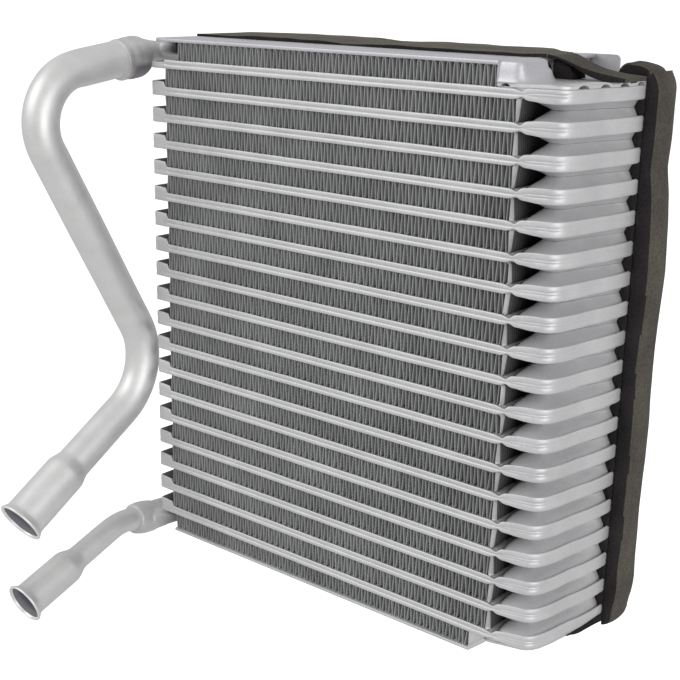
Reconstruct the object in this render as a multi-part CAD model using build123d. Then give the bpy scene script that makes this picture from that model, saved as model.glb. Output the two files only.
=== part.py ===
from build123d import *
import math
import os

# Plate-and-fin air conditioning evaporator core with two pipes.
# Millimetres, +Z up. Origin: centre of the core block's base, in plan and at
# the underside of the bottom side plate. +X points to the tank end, -Y is the
# front air face, -X is the pipe end.

os.makedirs("parts", exist_ok=True)

# ---------------------------------------------------------------- dimensions
pitch = 11.6            # tube to tube, centre to centre
n_tubes = 19
z_tube_1 = 219.0        # centre plane of the top tube
depth = 68.4            # core depth, front lip to rear lip
x_tab = -105.6          # left ends of the tube plates
x_fin_l = -96.6         # left ends of the fins
x_fin_r = 82.0          # right ends of the fins
x_pinch = 84.0          # where the tube narrows before the tank
sheet = 0.5             # tube plate sheet
face_h = 1.5            # tube face above the joint plane
lip_fin = 1.9           # edge lip along the fins
lip_pinch = 0.9         # edge lip at the narrow place
lip_tank = 2.9          # edge lip round the tank
lip_tab_up = 4.4        # edge lip at the left tab, upper plates
lip_tab_down = 2.0      # edge lip at the left tab, lower plates
half_gap = pitch / 2    # cup height: cups meet half way between tubes
cover_z0 = 2.3          # tank cover, above and below the end tubes
cover_z1 = 3.5
fin_t = 0.16            # fin sheet
fin_leg = 1.62          # run of one fin leg along X
fin_flat = 0.36         # crest of a fin
plate_t = 1.3           # side plate sheet
core_top = 230.0
duct_y = -12.2          # centre line of both connecting ducts
pipe_x = -116.7         # both pipes lie in this plane
suc_r, suc_wall = 8.0, 1.25
suc_sleeve_r, suc_rim_r = 9.65, 10.5
liq_r, liq_wall = 5.6, 1.1
liq_sleeve_r, liq_rim_r = 7.95, 9.4
foam_t = 1.4

hy = depth / 2


def tube_z(k):
    return z_tube_1 - (k - 1) * pitch


def poly(pts, z=0.0):
    return Face(Wire.make_polygon([(p[0], p[1], z) for p in pts], close=True))


def prism(pts, z0, z1):
    return extrude(poly(pts, z0), z1 - z0, dir=(0, 0, 1))


def prism_xz(pts, y0, y1):
    f = Face(Wire.make_polygon([(p[0], y0, p[1]) for p in pts], close=True))
    return extrude(f, y1 - y0, dir=(0, 1, 0))


def box(x0, x1, y0, y1, z0, z1):
    return Pos((x0 + x1) / 2, (y0 + y1) / 2, (z0 + z1) / 2) * Box(
        x1 - x0, y1 - y0, z1 - z0)


def inset(pts, d):
    """Move each point of a counter-clockwise outline inwards by d."""
    out = []
    n = len(pts)
    for i in range(n):
        ax, ay = pts[i - 1]
        bx, by = pts[i]
        cx, cy = pts[(i + 1) % n]
        e1 = (bx - ax, by - ay)
        e2 = (cx - bx, cy - by)
        l1, l2 = math.hypot(*e1), math.hypot(*e2)
        n1 = (-e1[1] / l1, e1[0] / l1)
        n2 = (-e2[1] / l2, e2[0] / l2)
        m = (n1[0] + n2[0], n1[1] + n2[1])
        ml = math.hypot(*m)
        m = (m[0] / ml, m[1] / ml)
        s = d / max(0.5, m[0] * n1[0] + m[1] * n1[1])
        out.append((bx + m[0] * s, by + m[1] * s))
    return out


def rounded(pts, d, r, z):
    """Outline moved inwards by d, with its corners rounded."""
    f = poly(inset(pts, d), z)
    return f.fillet_2d(max(0.6, r - d), f.vertices())


def cup_shell(pts, r, taper, z0, z1, d):
    """Tapered cup, its outline at z = 0 moved inwards by d."""
    slope = math.tan(math.radians(taper))
    low = rounded(pts, d + slope * z0, r, z0).outer_wire()
    high = rounded(pts, d + slope * z1, r, z1).outer_wire()
    return Solid.make_loft([low, high], ruled=True)


def slope_shell(low, high, r0, r1, z0, z1, d, full):
    """Cup between two outlines, both moved inwards by d."""
    a, b = inset(low, d), inset(high, d)
    wires = []
    for z in (z0, z1):
        t = z / full
        pts = [(p[0] * (1 - t) + q[0] * t, p[1] * (1 - t) + q[1] * t)
               for p, q in zip(a, b)]
        f = poly(pts, z)
        r = max(0.6, r0 * (1 - t) + r1 * t - d)
        wires.append(f.fillet_2d(r, f.vertices()).outer_wire())
    return Solid.make_loft(wires, ruled=True)


# --------------------------------------------------------------- tube plates
# Plan outline of the tank end, from the front narrow place round to the rear.
tank_line = [
    (84.0, -33.5), (87.2, -32.5), (89.6, -31.9), (92.0, -31.3), (94.6, -30.7),
    (96.6, -29.7), (98.3, -28.0), (99.7, -25.0), (101.2, -19.0), (102.5, -10.0),
    (104.0, -3.0), (104.9, 3.0), (105.4, 9.0), (105.6, 15.0), (105.4, 22.5),
    (102.5, 28.6), (96.5, 32.2), (90.0, 33.4), (84.0, 33.4),
]
plate_line = ([(x_tab, -hy), (-40.0, -hy), (40.0, -hy), (82.4, -hy)] + tank_line
              + [(82.4, hy), (40.0, hy), (-40.0, hy), (x_tab, hy)])

# Front and rear cups: corners of the outer line at the flange, with radii.
front_cup = [(84.8, -31.0), (95.6, -29.0), (99.8, -22.0), (103.8, 1.0),
             (103.8, 13.2), (84.8, 13.2)]
rear_cup = [(87.6, 19.0), (103.2, 19.0), (103.2, 24.0), (99.0, 29.0),
            (87.6, 29.0)]
cup_r = 3.2
cup_taper = math.degrees(math.atan2(2.1, half_gap))
# The front cup slopes in strongly: its corners at the meeting plane.
front_cup_top = [(87.4, -23.0), (91.6, -22.4), (94.4, -18.0), (97.8, 0.4),
                 (97.8, 11.6), (87.4, 11.6)]
cup_top_r = 1.6


def lip_profile(left_h, tank_h, pinch_h):
    return [(x_tab - 1, 0), (110, 0), (110, tank_h), (88.4, tank_h),
            (86.4, tank_h * 0.80), (84.6, pinch_h), (83.2, pinch_h),
            (80.6, lip_fin), (x_fin_l, lip_fin), (x_fin_l, left_h),
            (x_tab - 1, left_h)]


def make_plate(left_h, kind):
    """One pressed plate, joint plane at z = 0, face towards +Z.

    kind: "open" has open cups, "blind" closes the front cup, "end" has no
    cups and a raised tank floor for the cover.
    """
    tank_h = cover_z0 if kind == "end" else lip_tank
    flange = prism(plate_line, 0, sheet)
    ring = prism(plate_line, 0, left_h) - prism(inset(plate_line, sheet), -1,
                                                left_h + 1)
    lip = ring & prism_xz(lip_profile(left_h, tank_h, lip_pinch), -hy - 2,
                          hy + 2)
    # two passes side by side, joined at the left end
    pan = box(-103.6, 85.0, -32.2, 32.2, 0, face_h)
    hollow = box(-103.1, 85.0, -31.7, 31.7, -1, face_h - sheet)
    rib_gap = box(-95.6, 90.0, 15.3, 16.9, 0.0, face_h + 1)
    rib_web = box(-96.1, 90.0, 14.8, 17.4, -1, face_h + 1)
    body = flange + lip + (pan - rib_gap)
    cut = hollow - rib_web
    if kind == "end":
        raised = prism([(72.8, -31.6), (84.0, -31.6), (95.0, -24.4),
                        (98.8, -14.0), (103.2, 2.0), (103.6, 11.6),
                        (72.8, 11.6)], 0, cover_z0)
        raised_in = prism([(73.4, -31.0), (83.8, -31.0), (94.6, -23.9),
                           (98.2, -13.9), (102.6, 2.0), (103.0, 11.0),
                           (73.4, 11.0)], -1, cover_z0 - sheet)
        rear_in = prism([(84.0, 16.4), (102.6, 16.4), (102.6, 22.0),
                         (98.0, 27.6), (84.0, 28.6)], -1, face_h - sheet)
        rear_out = prism([(84.0, 15.9), (103.1, 15.9), (103.1, 22.2),
                          (98.2, 28.1), (84.0, 29.1)], 0, face_h)
        body = body + raised + rear_out
        cut = cut + raised_in + rear_in
        solid = body - cut
    else:
        cup_out = (slope_shell(front_cup, front_cup_top, cup_r, cup_top_r, 0,
                               half_gap, 0, half_gap)
                   + cup_shell(rear_cup, cup_r, cup_taper, 0, half_gap, 0))
        necks_out = (box(84.0, 90.0, -26.0, 9.0, 0, face_h)
                     + box(84.0, 90.0, 20.6, 26.4, 0, face_h))
        f_in = slope_shell(front_cup, front_cup_top, cup_r, cup_top_r, 0,
                           half_gap - sheet, 0.7, half_gap)
        r_in = cup_shell(rear_cup, cup_r, cup_taper, 0, half_gap - sheet,
                         sheet)
        necks_in = (box(84.0, 92.0, -25.5, 8.5, -1, face_h - sheet)
                    + box(84.0, 92.0, 21.1, 25.9, -1, face_h - sheet))
        body = body + cup_out + necks_out
        cut = cut + f_in + r_in + necks_in
        cut = cut + box(91.0, 100.0, 22.4, 25.6, 1.0, 7.0)
        if kind == "open":
            cut = cut + extrude(rounded(front_cup_top, 1.5, cup_top_r, 1.0),
                                6.0, dir=(0, 0, 1))
        solid = body - cut
    return solid


plate_up = make_plate(lip_tab_up, "open")
plate_up_blind = make_plate(lip_tab_up, "blind")
plate_up_end = make_plate(face_h, "end")
plate_down = mirror(make_plate(lip_tab_down, "open"), about=Plane.XY)
plate_down_end = mirror(make_plate(lip_tab_down, "end"), about=Plane.XY)

# suction port in the top plate of tube 1, under the dome
suction_port = Pos(79.0, -17.0, 1.5) * Cylinder(5.2, 6.0)
plate_up_end = plate_up_end - suction_port
# liquid port in the lower plate of tube 19, over the end of the liquid duct
liquid_port = Pos(67.0, duct_y, -1.5) * Cylinder(3.6, 6.0)
plate_down_end = plate_down_end - liquid_port

for k in range(1, n_tubes + 1):
    up = plate_up
    if k == 1:
        up = plate_up_end
    elif k == 10:
        up = plate_up_blind
    down = plate_down_end if k == n_tubes else plate_down
    tube = Compound(children=[Pos(0, 0, tube_z(k)) * up,
                              Pos(0, 0, tube_z(k)) * down])
    export_step(tube, f"parts/tube_plates_{k:02d}.step", write_pcurves=False)


# ---------------------------------------------------------------------- fins
def fin(x0, x1, y0, y1, z0, z1, phase):
    """A folded ribbon: slanting legs between flat crests, run along X."""
    h = z1 - z0
    zc0, zc1 = z0 + fin_t / 2, z1 - fin_t / 2
    pts = []
    i = 0
    x = x0 + fin_flat * 0.5
    side = phase
    pts.append((x0, zc1 if side else zc0))
    while x + fin_leg < x1 - fin_flat:
        z_a, z_b = (zc1, zc0) if side else (zc0, zc1)
        pts.append((x + fin_flat / 2, z_a))
        pts.append((x + fin_leg - fin_flat / 2, z_b))
        x += fin_leg
        side = not side
        i += 1
    pts.append((x1, zc1 if side else zc0))
    # offset the centre line to both sides
    left, right = [], []
    n = len(pts)
    for j in range(n):
        dirs = []
        if j > 0:
            dirs.append((pts[j][0] - pts[j - 1][0], pts[j][1] - pts[j - 1][1]))
        if j < n - 1:
            dirs.append((pts[j + 1][0] - pts[j][0], pts[j + 1][1] - pts[j][1]))
        nx = nz = 0.0
        norms = []
        for d in dirs:
            length = math.hypot(*d)
            norms.append((-d[1] / length, d[0] / length))
        nx = sum(a[0] for a in norms)
        nz = sum(a[1] for a in norms)
        length = math.hypot(nx, nz)
        nx, nz = nx / length, nz / length
        s = fin_t / 2 / (nx * norms[0][0] + nz * norms[0][1])
        left.append((pts[j][0] + nx * s, pts[j][1] + nz * s))
        right.append((pts[j][0] - nx * s, pts[j][1] - nz * s))
    return prism_xz(left + right[::-1], y0, y1)


fin_y = hy - sheet - 0.1
duct_top_w, duct_top_h = 22.0, 5.6
duct_bot_w, duct_bot_h = 14.0, 6.4
for k in range(2, n_tubes + 1):
    za = tube_z(k) + face_h
    zb = tube_z(k - 1) - face_h
    export_step(fin(x_fin_l, x_fin_r, -fin_y, fin_y, za, zb, k % 2),
                f"parts/fin_{k:02d}.step", write_pcurves=False)

z_top_fin0, z_top_fin1 = tube_z(1) + face_h, core_top - 1.6
z_bot_fin0, z_bot_fin1 = plate_t, tube_z(n_tubes) - face_h
export_step(fin(-90.5, 72.6, -fin_y, duct_y - duct_top_w / 2 - 0.4, z_top_fin0,
                z_top_fin1, 0), "parts/fin_01_front.step", write_pcurves=False)
export_step(fin(-90.5, 72.6, duct_y + duct_top_w / 2 + 0.4, fin_y, z_top_fin0,
                z_top_fin1, 0), "parts/fin_01_rear.step", write_pcurves=False)
export_step(fin(x_fin_l, 72.2, -fin_y, duct_y - duct_bot_w / 2 - 0.4,
                z_bot_fin0, z_bot_fin1, 1), "parts/fin_20_front.step", write_pcurves=False)
export_step(fin(x_fin_l, 72.2, duct_y + duct_bot_w / 2 + 0.4, fin_y,
                z_bot_fin0, z_bot_fin1, 1), "parts/fin_20_rear.step", write_pcurves=False)


# ------------------------------------------------------ flat-oval duct shape
def flat_oval(width, height, y, z, x0, x1):
    r = height / 2
    half = width / 2 - r
    core = box(x0, x1, y - half, y + half, z - r, z + r)
    ends = [Pos((x0 + x1) / 2, y + s * half, z) * Rot(0, 90, 0)
            * Cylinder(r, x1 - x0) for s in (-1, 1)]
    return core + ends[0] + ends[1]


zd_top = 225.4
zd_bot = 4.7

# ------------------------------------------------------------ top side plate
dome_low = [(72.8, -34.2), (82.0, -34.2), (83.6, -33.0), (84.6, -29.5),
            (85.2, -22.6), (84.8, -14.0), (81.5, -9.4), (76.5, -6.4),
            (72.8, -5.4)]
dome_high = [(72.8, -34.2), (80.2, -34.2), (81.4, -33.2), (82.0, -29.5),
             (82.2, -22.6), (81.8, -14.6), (79.0, -10.6), (75.5, -8.0),
             (72.8, -7.0)]
z_cover_top = tube_z(1) + cover_z1


def facet_loft(p0, z0, p1, z1):
    w0 = Wire.make_polygon([(p[0], p[1], z0) for p in p0], close=True)
    w1 = Wire.make_polygon([(p[0], p[1], z1) for p in p1], close=True)
    return Solid.make_loft([w0, w1], ruled=True)


dome = facet_loft(dome_low, z_cover_top, dome_high, core_top)
dome_in = facet_loft(inset(dome_low, 1.1), z_cover_top - 0.01,
                     inset(dome_high, 1.1), core_top - 1.5)
top_sheet = prism([(-102.8, -hy), (72.9, -hy), (72.9, -7.0), (74.0, -5.0),
                   (74.0, hy), (-102.8, hy)], core_top - 1.6, core_top)
duct_slot = flat_oval(duct_top_w + 0.1, duct_top_h + 0.1, duct_y, zd_top, 70.0,
                      75.0)
top_side_plate = (top_sheet + dome) - dome_in - duct_slot
export_step(top_side_plate, "parts/top_side_plate.step", write_pcurves=False)


# --------------------------------------------------------------- tank covers
def cover(rows_of_beads):
    plan = prism([(72.8, -hy), (82.4, -hy)] + tank_line
                 + [(82.4, hy), (72.8, hy)], cover_z0, cover_z1)
    tall = prism([(72.8, -hy), (82.4, -hy)] + tank_line
                 + [(82.4, hy), (72.8, hy)], cover_z0, cover_z1 + 3)
    ridges = None
    hollows = None
    for y in rows_of_beads:
        ridge = Pos(101.0, y, bead_z) * Rot(0, 90, 0) * Cylinder(3.95, 14.0)
        hollow = Pos(101.6, y, bead_z) * Rot(0, 90, 0) * Cylinder(3.2, 15.0)
        ridges = ridge if ridges is None else ridges + ridge
        hollows = hollow if hollows is None else hollows + hollow
    if ridges is None:
        return plan
    return (plan + (ridges & tall)) - hollows


bead_rows = [-22.0, -10.4, 0.0, 10.4, 22.0]
bead_z = cover_z0 - 2.0
cover_top = cover(bead_rows)
cover_top = cover_top - (Pos(76.3, -31.0, cover_z0) * Rot(90, 0, 0)
                         * Cylinder(0.95, 8.0))
cover_top = cover_top - Pos(79.0, -17.0, cover_z0) * Cylinder(5.2, 6.0)
export_step(Pos(0, 0, tube_z(1)) * cover_top, "parts/top_tank_cover.step", write_pcurves=False)

cover_bot_plan = prism([(80.4, -hy), (80.5, -hy)] + tank_line
                       + [(80.4, hy)], -cover_z1 + 0.4, -cover_z0)
export_step(Pos(0, 0, tube_z(n_tubes)) * cover_bot_plan,
            "parts/bottom_tank_cover.step", write_pcurves=False)

# --------------------------------------------------------- bottom side plate
bottom_side_plate = prism_xz([(-96.3, 0.0), (72.9, 0.0), (80.2, 6.2),
                              (80.2, 7.8), (79.4, 7.8), (72.3, plate_t),
                              (-96.3, plate_t)], -hy, hy)
export_step(bottom_side_plate, "parts/bottom_side_plate.step", write_pcurves=False)

# --------------------------------------------------------------------- ducts
duct_wall = 0.8
suction_duct = (flat_oval(duct_top_w, duct_top_h, duct_y, zd_top, -109.8, 75.0)
                - flat_oval(duct_top_w - 2 * duct_wall,
                            duct_top_h - 2 * duct_wall, duct_y, zd_top, -111.0,
                            76.0))
export_step(suction_duct, "parts/suction_duct.step", write_pcurves=False)
liquid_duct = (flat_oval(duct_bot_w, duct_bot_h, duct_y, zd_bot, -109.8, 71.8)
               - flat_oval(duct_bot_w - 2 * duct_wall,
                           duct_bot_h - 2 * duct_wall, duct_y, zd_bot, -111.0,
                           71.0)
               - Pos(67.0, duct_y, zd_bot + 4.0) * Cylinder(3.6, 8.0))
export_step(liquid_duct, "parts/liquid_duct.step", write_pcurves=False)

# --------------------------------------------------------------------- pipes
suc_path = [(-46.0, 220.12), (-99.1, 212.5), (-24.1, 74.7), (-76.4, 41.75)]
suc_radii = [22.8, 30.0]
suc_rim = (-107.0, 22.5)
liq_path = [(-40.0, 2.0), (-51.2, 3.8), (-79.4, -6.7)]
liq_radii = [25.0]
liq_rim = (-107.4, -17.1)


def pipe(path, radii, r_out, wall, rim, sleeve_r, rim_r, neck, rim_wall):
    """Bent tube, then a widened sleeve with a flared, rolled mouth."""
    pts = [Vector(pipe_x, p[0], p[1]) for p in path]
    line = FilletPolyline(*pts, radius=radii)
    start = Plane(origin=line @ 0, z_dir=line % 0)
    outer = sweep(start * Circle(r_out), path=line)
    inner = sweep(start * Circle(r_out - wall), path=line)
    p0 = pts[-1]
    p1 = Vector(pipe_x, rim[0], rim[1])
    axis = (p1 - p0).normalized()
    length = (p1 - p0).length
    r_in = sleeve_r - wall
    x_flare = length - 3.4
    section = [
        (r_out, 0.0), (r_out + 0.25, 0.8), (sleeve_r - 0.5, neck),
        (sleeve_r, neck + 1.6), (sleeve_r, x_flare),
        (rim_r, length - 1.5), (rim_r, length - 0.3), (rim_r - 0.3, length),
        (rim_r - rim_wall, length), (r_in + 0.2, x_flare - 0.4),
        (r_in, x_flare - 1.2), (r_in, neck + 1.8), (r_in - 0.5, neck + 0.4),
        (r_out - wall, 0.4), (r_out - wall, 0.0),
    ]
    prof = Face(Wire.make_polygon([(a, 0, b) for a, b in section], close=True))
    mouth = Plane(origin=p0, z_dir=axis) * revolve(prof, axis=Axis.Z)
    return outer, inner, mouth, p0, p1, axis, r_in, line


s_out, s_in, s_mouth, s_p0, s_p1, s_axis, s_rin, s_line = pipe(
    suc_path, suc_radii, suc_r, suc_wall, suc_rim, suc_sleeve_r, suc_rim_r, 4.5,
    0.9)
export_step((s_out - s_in) + s_mouth, "parts/suction_pipe.step", write_pcurves=False)
l_out, l_in, l_mouth, l_p0, l_p1, l_axis, l_rin, l_line = pipe(
    liq_path, liq_radii, liq_r, liq_wall, liq_rim, liq_sleeve_r, liq_rim_r, 5.5,
    0.9)
export_step((l_out - l_in) + l_mouth, "parts/liquid_pipe.step", write_pcurves=False)
for name, p1, axis, r_in in (("suction", s_p1, s_axis, s_rin),
                             ("liquid", l_p1, l_axis, l_rin)):
    print(name, "mouth", [round(v, 3) for v in (p1.X, p1.Y, p1.Z)], "axis",
          [round(v, 4) for v in (axis.X, axis.Y, axis.Z)], "bore r",
          round(r_in, 3))


# ------------------------------------------------------------------- collars
def collar(line, r_fit, r_body, y_a, y_b, z_b, r_stub, y_end, z_end, duct_z,
           duct_w, duct_h):
    """Socket for the pipe, a closed shoulder, a slimmer stub along +Y, and a
    side branch that takes the flat duct."""
    p_a = line @ 0
    t = line % 0
    mouth = Vector(pipe_x, y_a, p_a.Z + (y_a - p_a.Y) * t.Z / t.Y)
    p_b = Vector(pipe_x, y_b, z_b)
    ax = (p_b - mouth).normalized()
    length = (p_b - mouth).length
    body = Plane(origin=mouth, z_dir=ax) * (
        Pos(0, 0, length / 2) * Cylinder(r_body, length))
    body = body + Pos(p_b.X, p_b.Y, p_b.Z) * Sphere(r_body)
    p_e = Vector(pipe_x, y_end, z_end)
    ax2 = (p_e - p_b).normalized()
    len2 = (p_e - p_b).length
    stub = Plane(origin=p_b, z_dir=ax2) * (Pos(0, 0, len2 / 2)
                                           * Cylinder(r_stub, len2))
    stub = stub + Pos(p_e.X, p_e.Y, p_e.Z) * Sphere(r_stub)
    branch = flat_oval(duct_w + 1.8, duct_h + 1.8, duct_y, duct_z, pipe_x,
                       -107.2)
    bore = Plane(origin=mouth, z_dir=ax) * (
        Pos(0, 0, length / 2 - 0.5) * Cylinder(r_fit - 1.6, length + 1.0))
    bore2 = Plane(origin=p_b, z_dir=ax2) * (
        Pos(0, 0, len2 / 2 - 1) * Cylinder(r_stub - 1.2, len2 + 2))
    socket = Plane(origin=p_a, z_dir=t * -1) * (
        Pos(0, 0, -20.0) * Cylinder(r_fit, 40.0))
    duct_bore = flat_oval(duct_w - 1.6, duct_h - 1.6, duct_y, duct_z, pipe_x,
                          -106.0)
    duct_socket = flat_oval(duct_w, duct_h, duct_y, duct_z, -109.8, -106.0)
    return (body + stub + branch) - bore - bore2 - socket - duct_bore - duct_socket


suction_collar = collar(s_line, suc_r, 8.9, -47.5, -30.0, 222.4, 5.4, -5.5,
                        zd_top, zd_top, duct_top_w, duct_top_h)
export_step(suction_collar, "parts/suction_collar.step", write_pcurves=False)
liquid_collar = collar(l_line, liq_r, 7.0, -44.0, -33.0, 1.4, 5.2, -8.0,
                       zd_bot, zd_bot, duct_bot_w, duct_bot_h)
export_step(liquid_collar, "parts/liquid_collar.step", write_pcurves=False)

# ---------------------------------------------------------------- foam seals
foam_front = -9.9
foam_top = prism([(-100.5, foam_front), (74.0, foam_front), (74.0, -4.9),
                  (78.0, -4.9), (78.0, 15.0), (69.0, 15.6), (69.0, 32.3),
                  (-88.0, 30.0), (-102.4, 26.0)],
                 core_top, core_top + foam_t)
z_bead_top = z_cover_top + 0.8
foam_tongue = prism_xz([(77.9, core_top), (80.1, 229.2), (86.4, 226.9),
                        (90.0, 225.2), (93.4, 224.0), (96.0, z_bead_top),
                        (105.4, z_bead_top), (105.4, 224.6), (99.0, 225.4),
                        (95.0, 226.3), (86.4, 228.5), (83.0, 229.6),
                        (79.3, 230.9), (77.9, core_top + foam_t)], -4.9, 15.0)
export_step(foam_top + foam_tongue, "parts/foam_top.step", write_pcurves=False)

right_plan = [(106.0, 16.0), (110.4, 16.0), (111.6, 17.2), (111.9, 24.0),
              (111.4, 30.0), (109.0, 33.6), (106.0, 34.2)]
foam_right = prism(right_plan, 3.4, 225.8)
foam_right = foam_right - prism_xz([(108.6, 226.5), (112.5, 221.0),
                                    (114.0, 227.0)], 10, 40)
foam_right = foam_right - prism_xz([(107.6, 3.0), (112.5, 12.0),
                                    (114.0, 2.0)], 10, 40)
export_step(foam_right, "parts/foam_right.step", write_pcurves=False)

foam_fold = prism_xz([(91.6, z_bead_top), (105.7, z_bead_top), (105.7, 226.6),
                      (103.0, 227.9), (99.0, 228.4), (94.5, 228.3),
                      (91.8, 227.0), (91.0, 225.0)], 16.6, 32.0)
export_step(foam_fold, "parts/foam_fold.step", write_pcurves=False)

foam_bottom = prism_xz([(-92.0, -1.5), (73.4, -1.5), (81.6, 5.2), (81.6, 7.1),
                        (80.35, 7.1), (80.3, 6.0), (72.9, 0.0), (-92.0, 0.0)],
                       -8.7, 31.0)
wedge_yz = [(-9.5, 7.05), (9.4, 3.9), (18.0, 2.8), (31.0, 1.6), (31.0, 7.1),
            (-9.5, 7.1)]
foam_wedge = extrude(Face(Wire.make_polygon([(80.4, q[0], q[1])
                                             for q in wedge_yz], close=True)),
                     23.1, dir=(1, 0, 0))
export_step(foam_bottom + foam_wedge, "parts/foam_bottom.step",
            write_pcurves=False)

# -------------------------------------------------------------- rear bracket
rear_bracket = (box(67.8, 83.7, hy + 0.05, hy + 1.1, z_cover_top, core_top)
                + box(74.0, 83.7, 32.8, hy + 1.1, z_cover_top, z_cover_top + 1.2))
corner = box(81.7, 84.0, hy - 2, hy + 2, core_top - 2.0, core_top + 1)
corner = corner - Pos(81.7, hy, core_top - 2.0) * Rot(90, 0, 0) * Cylinder(
    2.0, 8.0)
rear_bracket = rear_bracket - corner
export_step(rear_bracket, "parts/rear_bracket.step", write_pcurves=False)
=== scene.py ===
import bpy
import bmesh
import math
import numpy as np
from mathutils import Matrix, Vector


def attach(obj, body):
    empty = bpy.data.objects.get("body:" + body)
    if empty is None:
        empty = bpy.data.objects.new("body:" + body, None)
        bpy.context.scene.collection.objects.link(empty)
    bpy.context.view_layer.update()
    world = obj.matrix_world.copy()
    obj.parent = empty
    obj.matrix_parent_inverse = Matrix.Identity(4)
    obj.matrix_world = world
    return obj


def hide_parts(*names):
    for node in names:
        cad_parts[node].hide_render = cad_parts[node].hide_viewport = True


# Plate-and-fin evaporator core. All shape numbers are in millimetres and are
# turned into metres when a mesh is made. +X tank end, -Y front face, +Z up.
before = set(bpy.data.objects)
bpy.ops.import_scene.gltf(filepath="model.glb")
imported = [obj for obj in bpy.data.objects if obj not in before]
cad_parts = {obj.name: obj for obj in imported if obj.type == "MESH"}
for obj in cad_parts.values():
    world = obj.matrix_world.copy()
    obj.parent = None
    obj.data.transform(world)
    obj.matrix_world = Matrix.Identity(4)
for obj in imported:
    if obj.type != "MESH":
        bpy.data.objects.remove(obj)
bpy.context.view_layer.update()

PITCH = 11.6
HY = 34.2
X_TAB = -106.2


def tube_z(k):
    return 219.0 - (k - 1) * PITCH


# ------------------------------------------------------------------ mesh tools
def signed_volume(v, faces):
    a, b, c = [], [], []
    for f in faces:
        for i in range(1, len(f) - 1):
            a.append(f[0])
            b.append(f[i])
            c.append(f[i + 1])
    a, b, c = v[a], v[b], v[c]
    return float(np.einsum("ij,ij->i", a, np.cross(b, c)).sum() / 6.0)


class Shell:
    """Closed shells gathered into one mesh."""

    def __init__(self):
        self.v = []
        self.f = []
        self.n = 0

    def add(self, v, faces):
        v = np.asarray(v, float)
        if signed_volume(v - v.mean(0), faces) < 0:
            faces = [f[::-1] for f in faces]
        n = self.n
        self.f += [tuple(i + n for i in f) for f in faces]
        self.v.append(v)
        self.n += len(v)
        return self

    def loft(self, rings, cap=True):
        """rings: (M, N, 3), each ring closed, the row of rings open."""
        rings = np.asarray(rings, float)
        m, n = rings.shape[:2]
        faces = []
        for i in range(m - 1):
            for j in range(n):
                k = (j + 1) % n
                faces.append((i * n + j, i * n + k, (i + 1) * n + k,
                              (i + 1) * n + j))
        if cap:
            faces.append(tuple(range(n))[::-1])
            faces.append(tuple((m - 1) * n + j for j in range(n)))
        return self.add(rings.reshape(-1, 3), faces)

    def torus(self, rings):
        rings = np.asarray(rings, float)
        m, n = rings.shape[:2]
        faces = []
        for i in range(m):
            i2 = (i + 1) % m
            for j in range(n):
                k = (j + 1) % n
                faces.append((i * n + j, i * n + k, i2 * n + k, i2 * n + j))
        return self.add(rings.reshape(-1, 3), faces)

    def box(self, x0, x1, y0, y1, z0, z1):
        v = [(x, y, z) for z in (z0, z1) for x, y in
             ((x0, y0), (x1, y0), (x1, y1), (x0, y1))]
        f = [(3, 2, 1, 0), (4, 5, 6, 7), (0, 1, 5, 4), (1, 2, 6, 5),
             (2, 3, 7, 6), (3, 0, 4, 7)]
        return self.add(v, f)


def make(name, shell, nodes, material, sharp=38.0):
    mesh = bpy.data.meshes.new(name)
    verts = np.concatenate(shell.v) * 0.001
    mesh.from_pydata(verts.tolist(), [], shell.f)
    mesh.update()
    mesh.polygons.foreach_set("use_smooth", [True] * len(mesh.polygons))
    if sharp is not None:
        mesh.set_sharp_from_angle(angle=math.radians(sharp))
    ob = bpy.data.objects.new(name, mesh)
    bpy.context.scene.collection.objects.link(ob)
    mesh.materials.append(material)
    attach(ob, "root")
    if nodes:
        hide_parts(*nodes)
    return ob


def catmull(pts, step):
    """Smooth open curve through the points, about step apart."""
    p = np.asarray(pts, float)
    ext = np.vstack([2 * p[0] - p[1], p, 2 * p[-1] - p[-2]])
    out = []
    for i in range(1, len(ext) - 2):
        p0, p1, p2, p3 = ext[i - 1:i + 3]
        n = max(2, int(round(np.linalg.norm(p2 - p1) / step)))
        for j in range(n):
            t = j / n
            out.append(0.5 * ((2 * p1) + (p2 - p0) * t
                              + (2 * p0 - 5 * p1 + 4 * p2 - p3) * t * t
                              + (3 * p1 - p0 - 3 * p2 + p3) * t ** 3))
    out.append(p[-1])
    return np.array(out)


def normals_2d(p, closed=True):
    """Inward normals of a counter-clockwise outline, with mitre scale."""
    if closed:
        a = p - np.roll(p, 1, 0)
        b = np.roll(p, -1, 0) - p
    else:
        a = np.vstack([p[1] - p[0], np.diff(p, axis=0)])
        b = np.vstack([np.diff(p, axis=0), p[-1] - p[-2]])
    a = a / np.linalg.norm(a, axis=1)[:, None]
    b = b / np.linalg.norm(b, axis=1)[:, None]
    na = np.c_[-a[:, 1], a[:, 0]]
    nb = np.c_[-b[:, 1], b[:, 0]]
    m = na + nb
    m = m / np.linalg.norm(m, axis=1)[:, None]
    s = 1.0 / np.maximum(0.6, (m * na).sum(1))
    return m * s[:, None]


def smooth01(t):
    t = np.clip(t, 0, 1)
    return t * t * (3 - 2 * t)


def noise_line(rng, x, scale, amp):
    """Smooth seeded noise along x."""
    lo, hi = float(np.min(x)) - scale, float(np.max(x)) + scale
    n = int((hi - lo) / scale) + 3
    knots = rng.normal(0, 1, n)
    t = (np.asarray(x) - lo) / scale
    i = np.clip(t.astype(int), 0, n - 2)
    f = smooth01(t - i)
    return amp * (knots[i] * (1 - f) + knots[i + 1] * f)


# ------------------------------------------------------------------- materials
def nodes_of(mat):
    mat.use_nodes = True
    nt = mat.node_tree
    bsdf = nt.nodes["Principled BSDF"]
    return nt, bsdf


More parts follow.
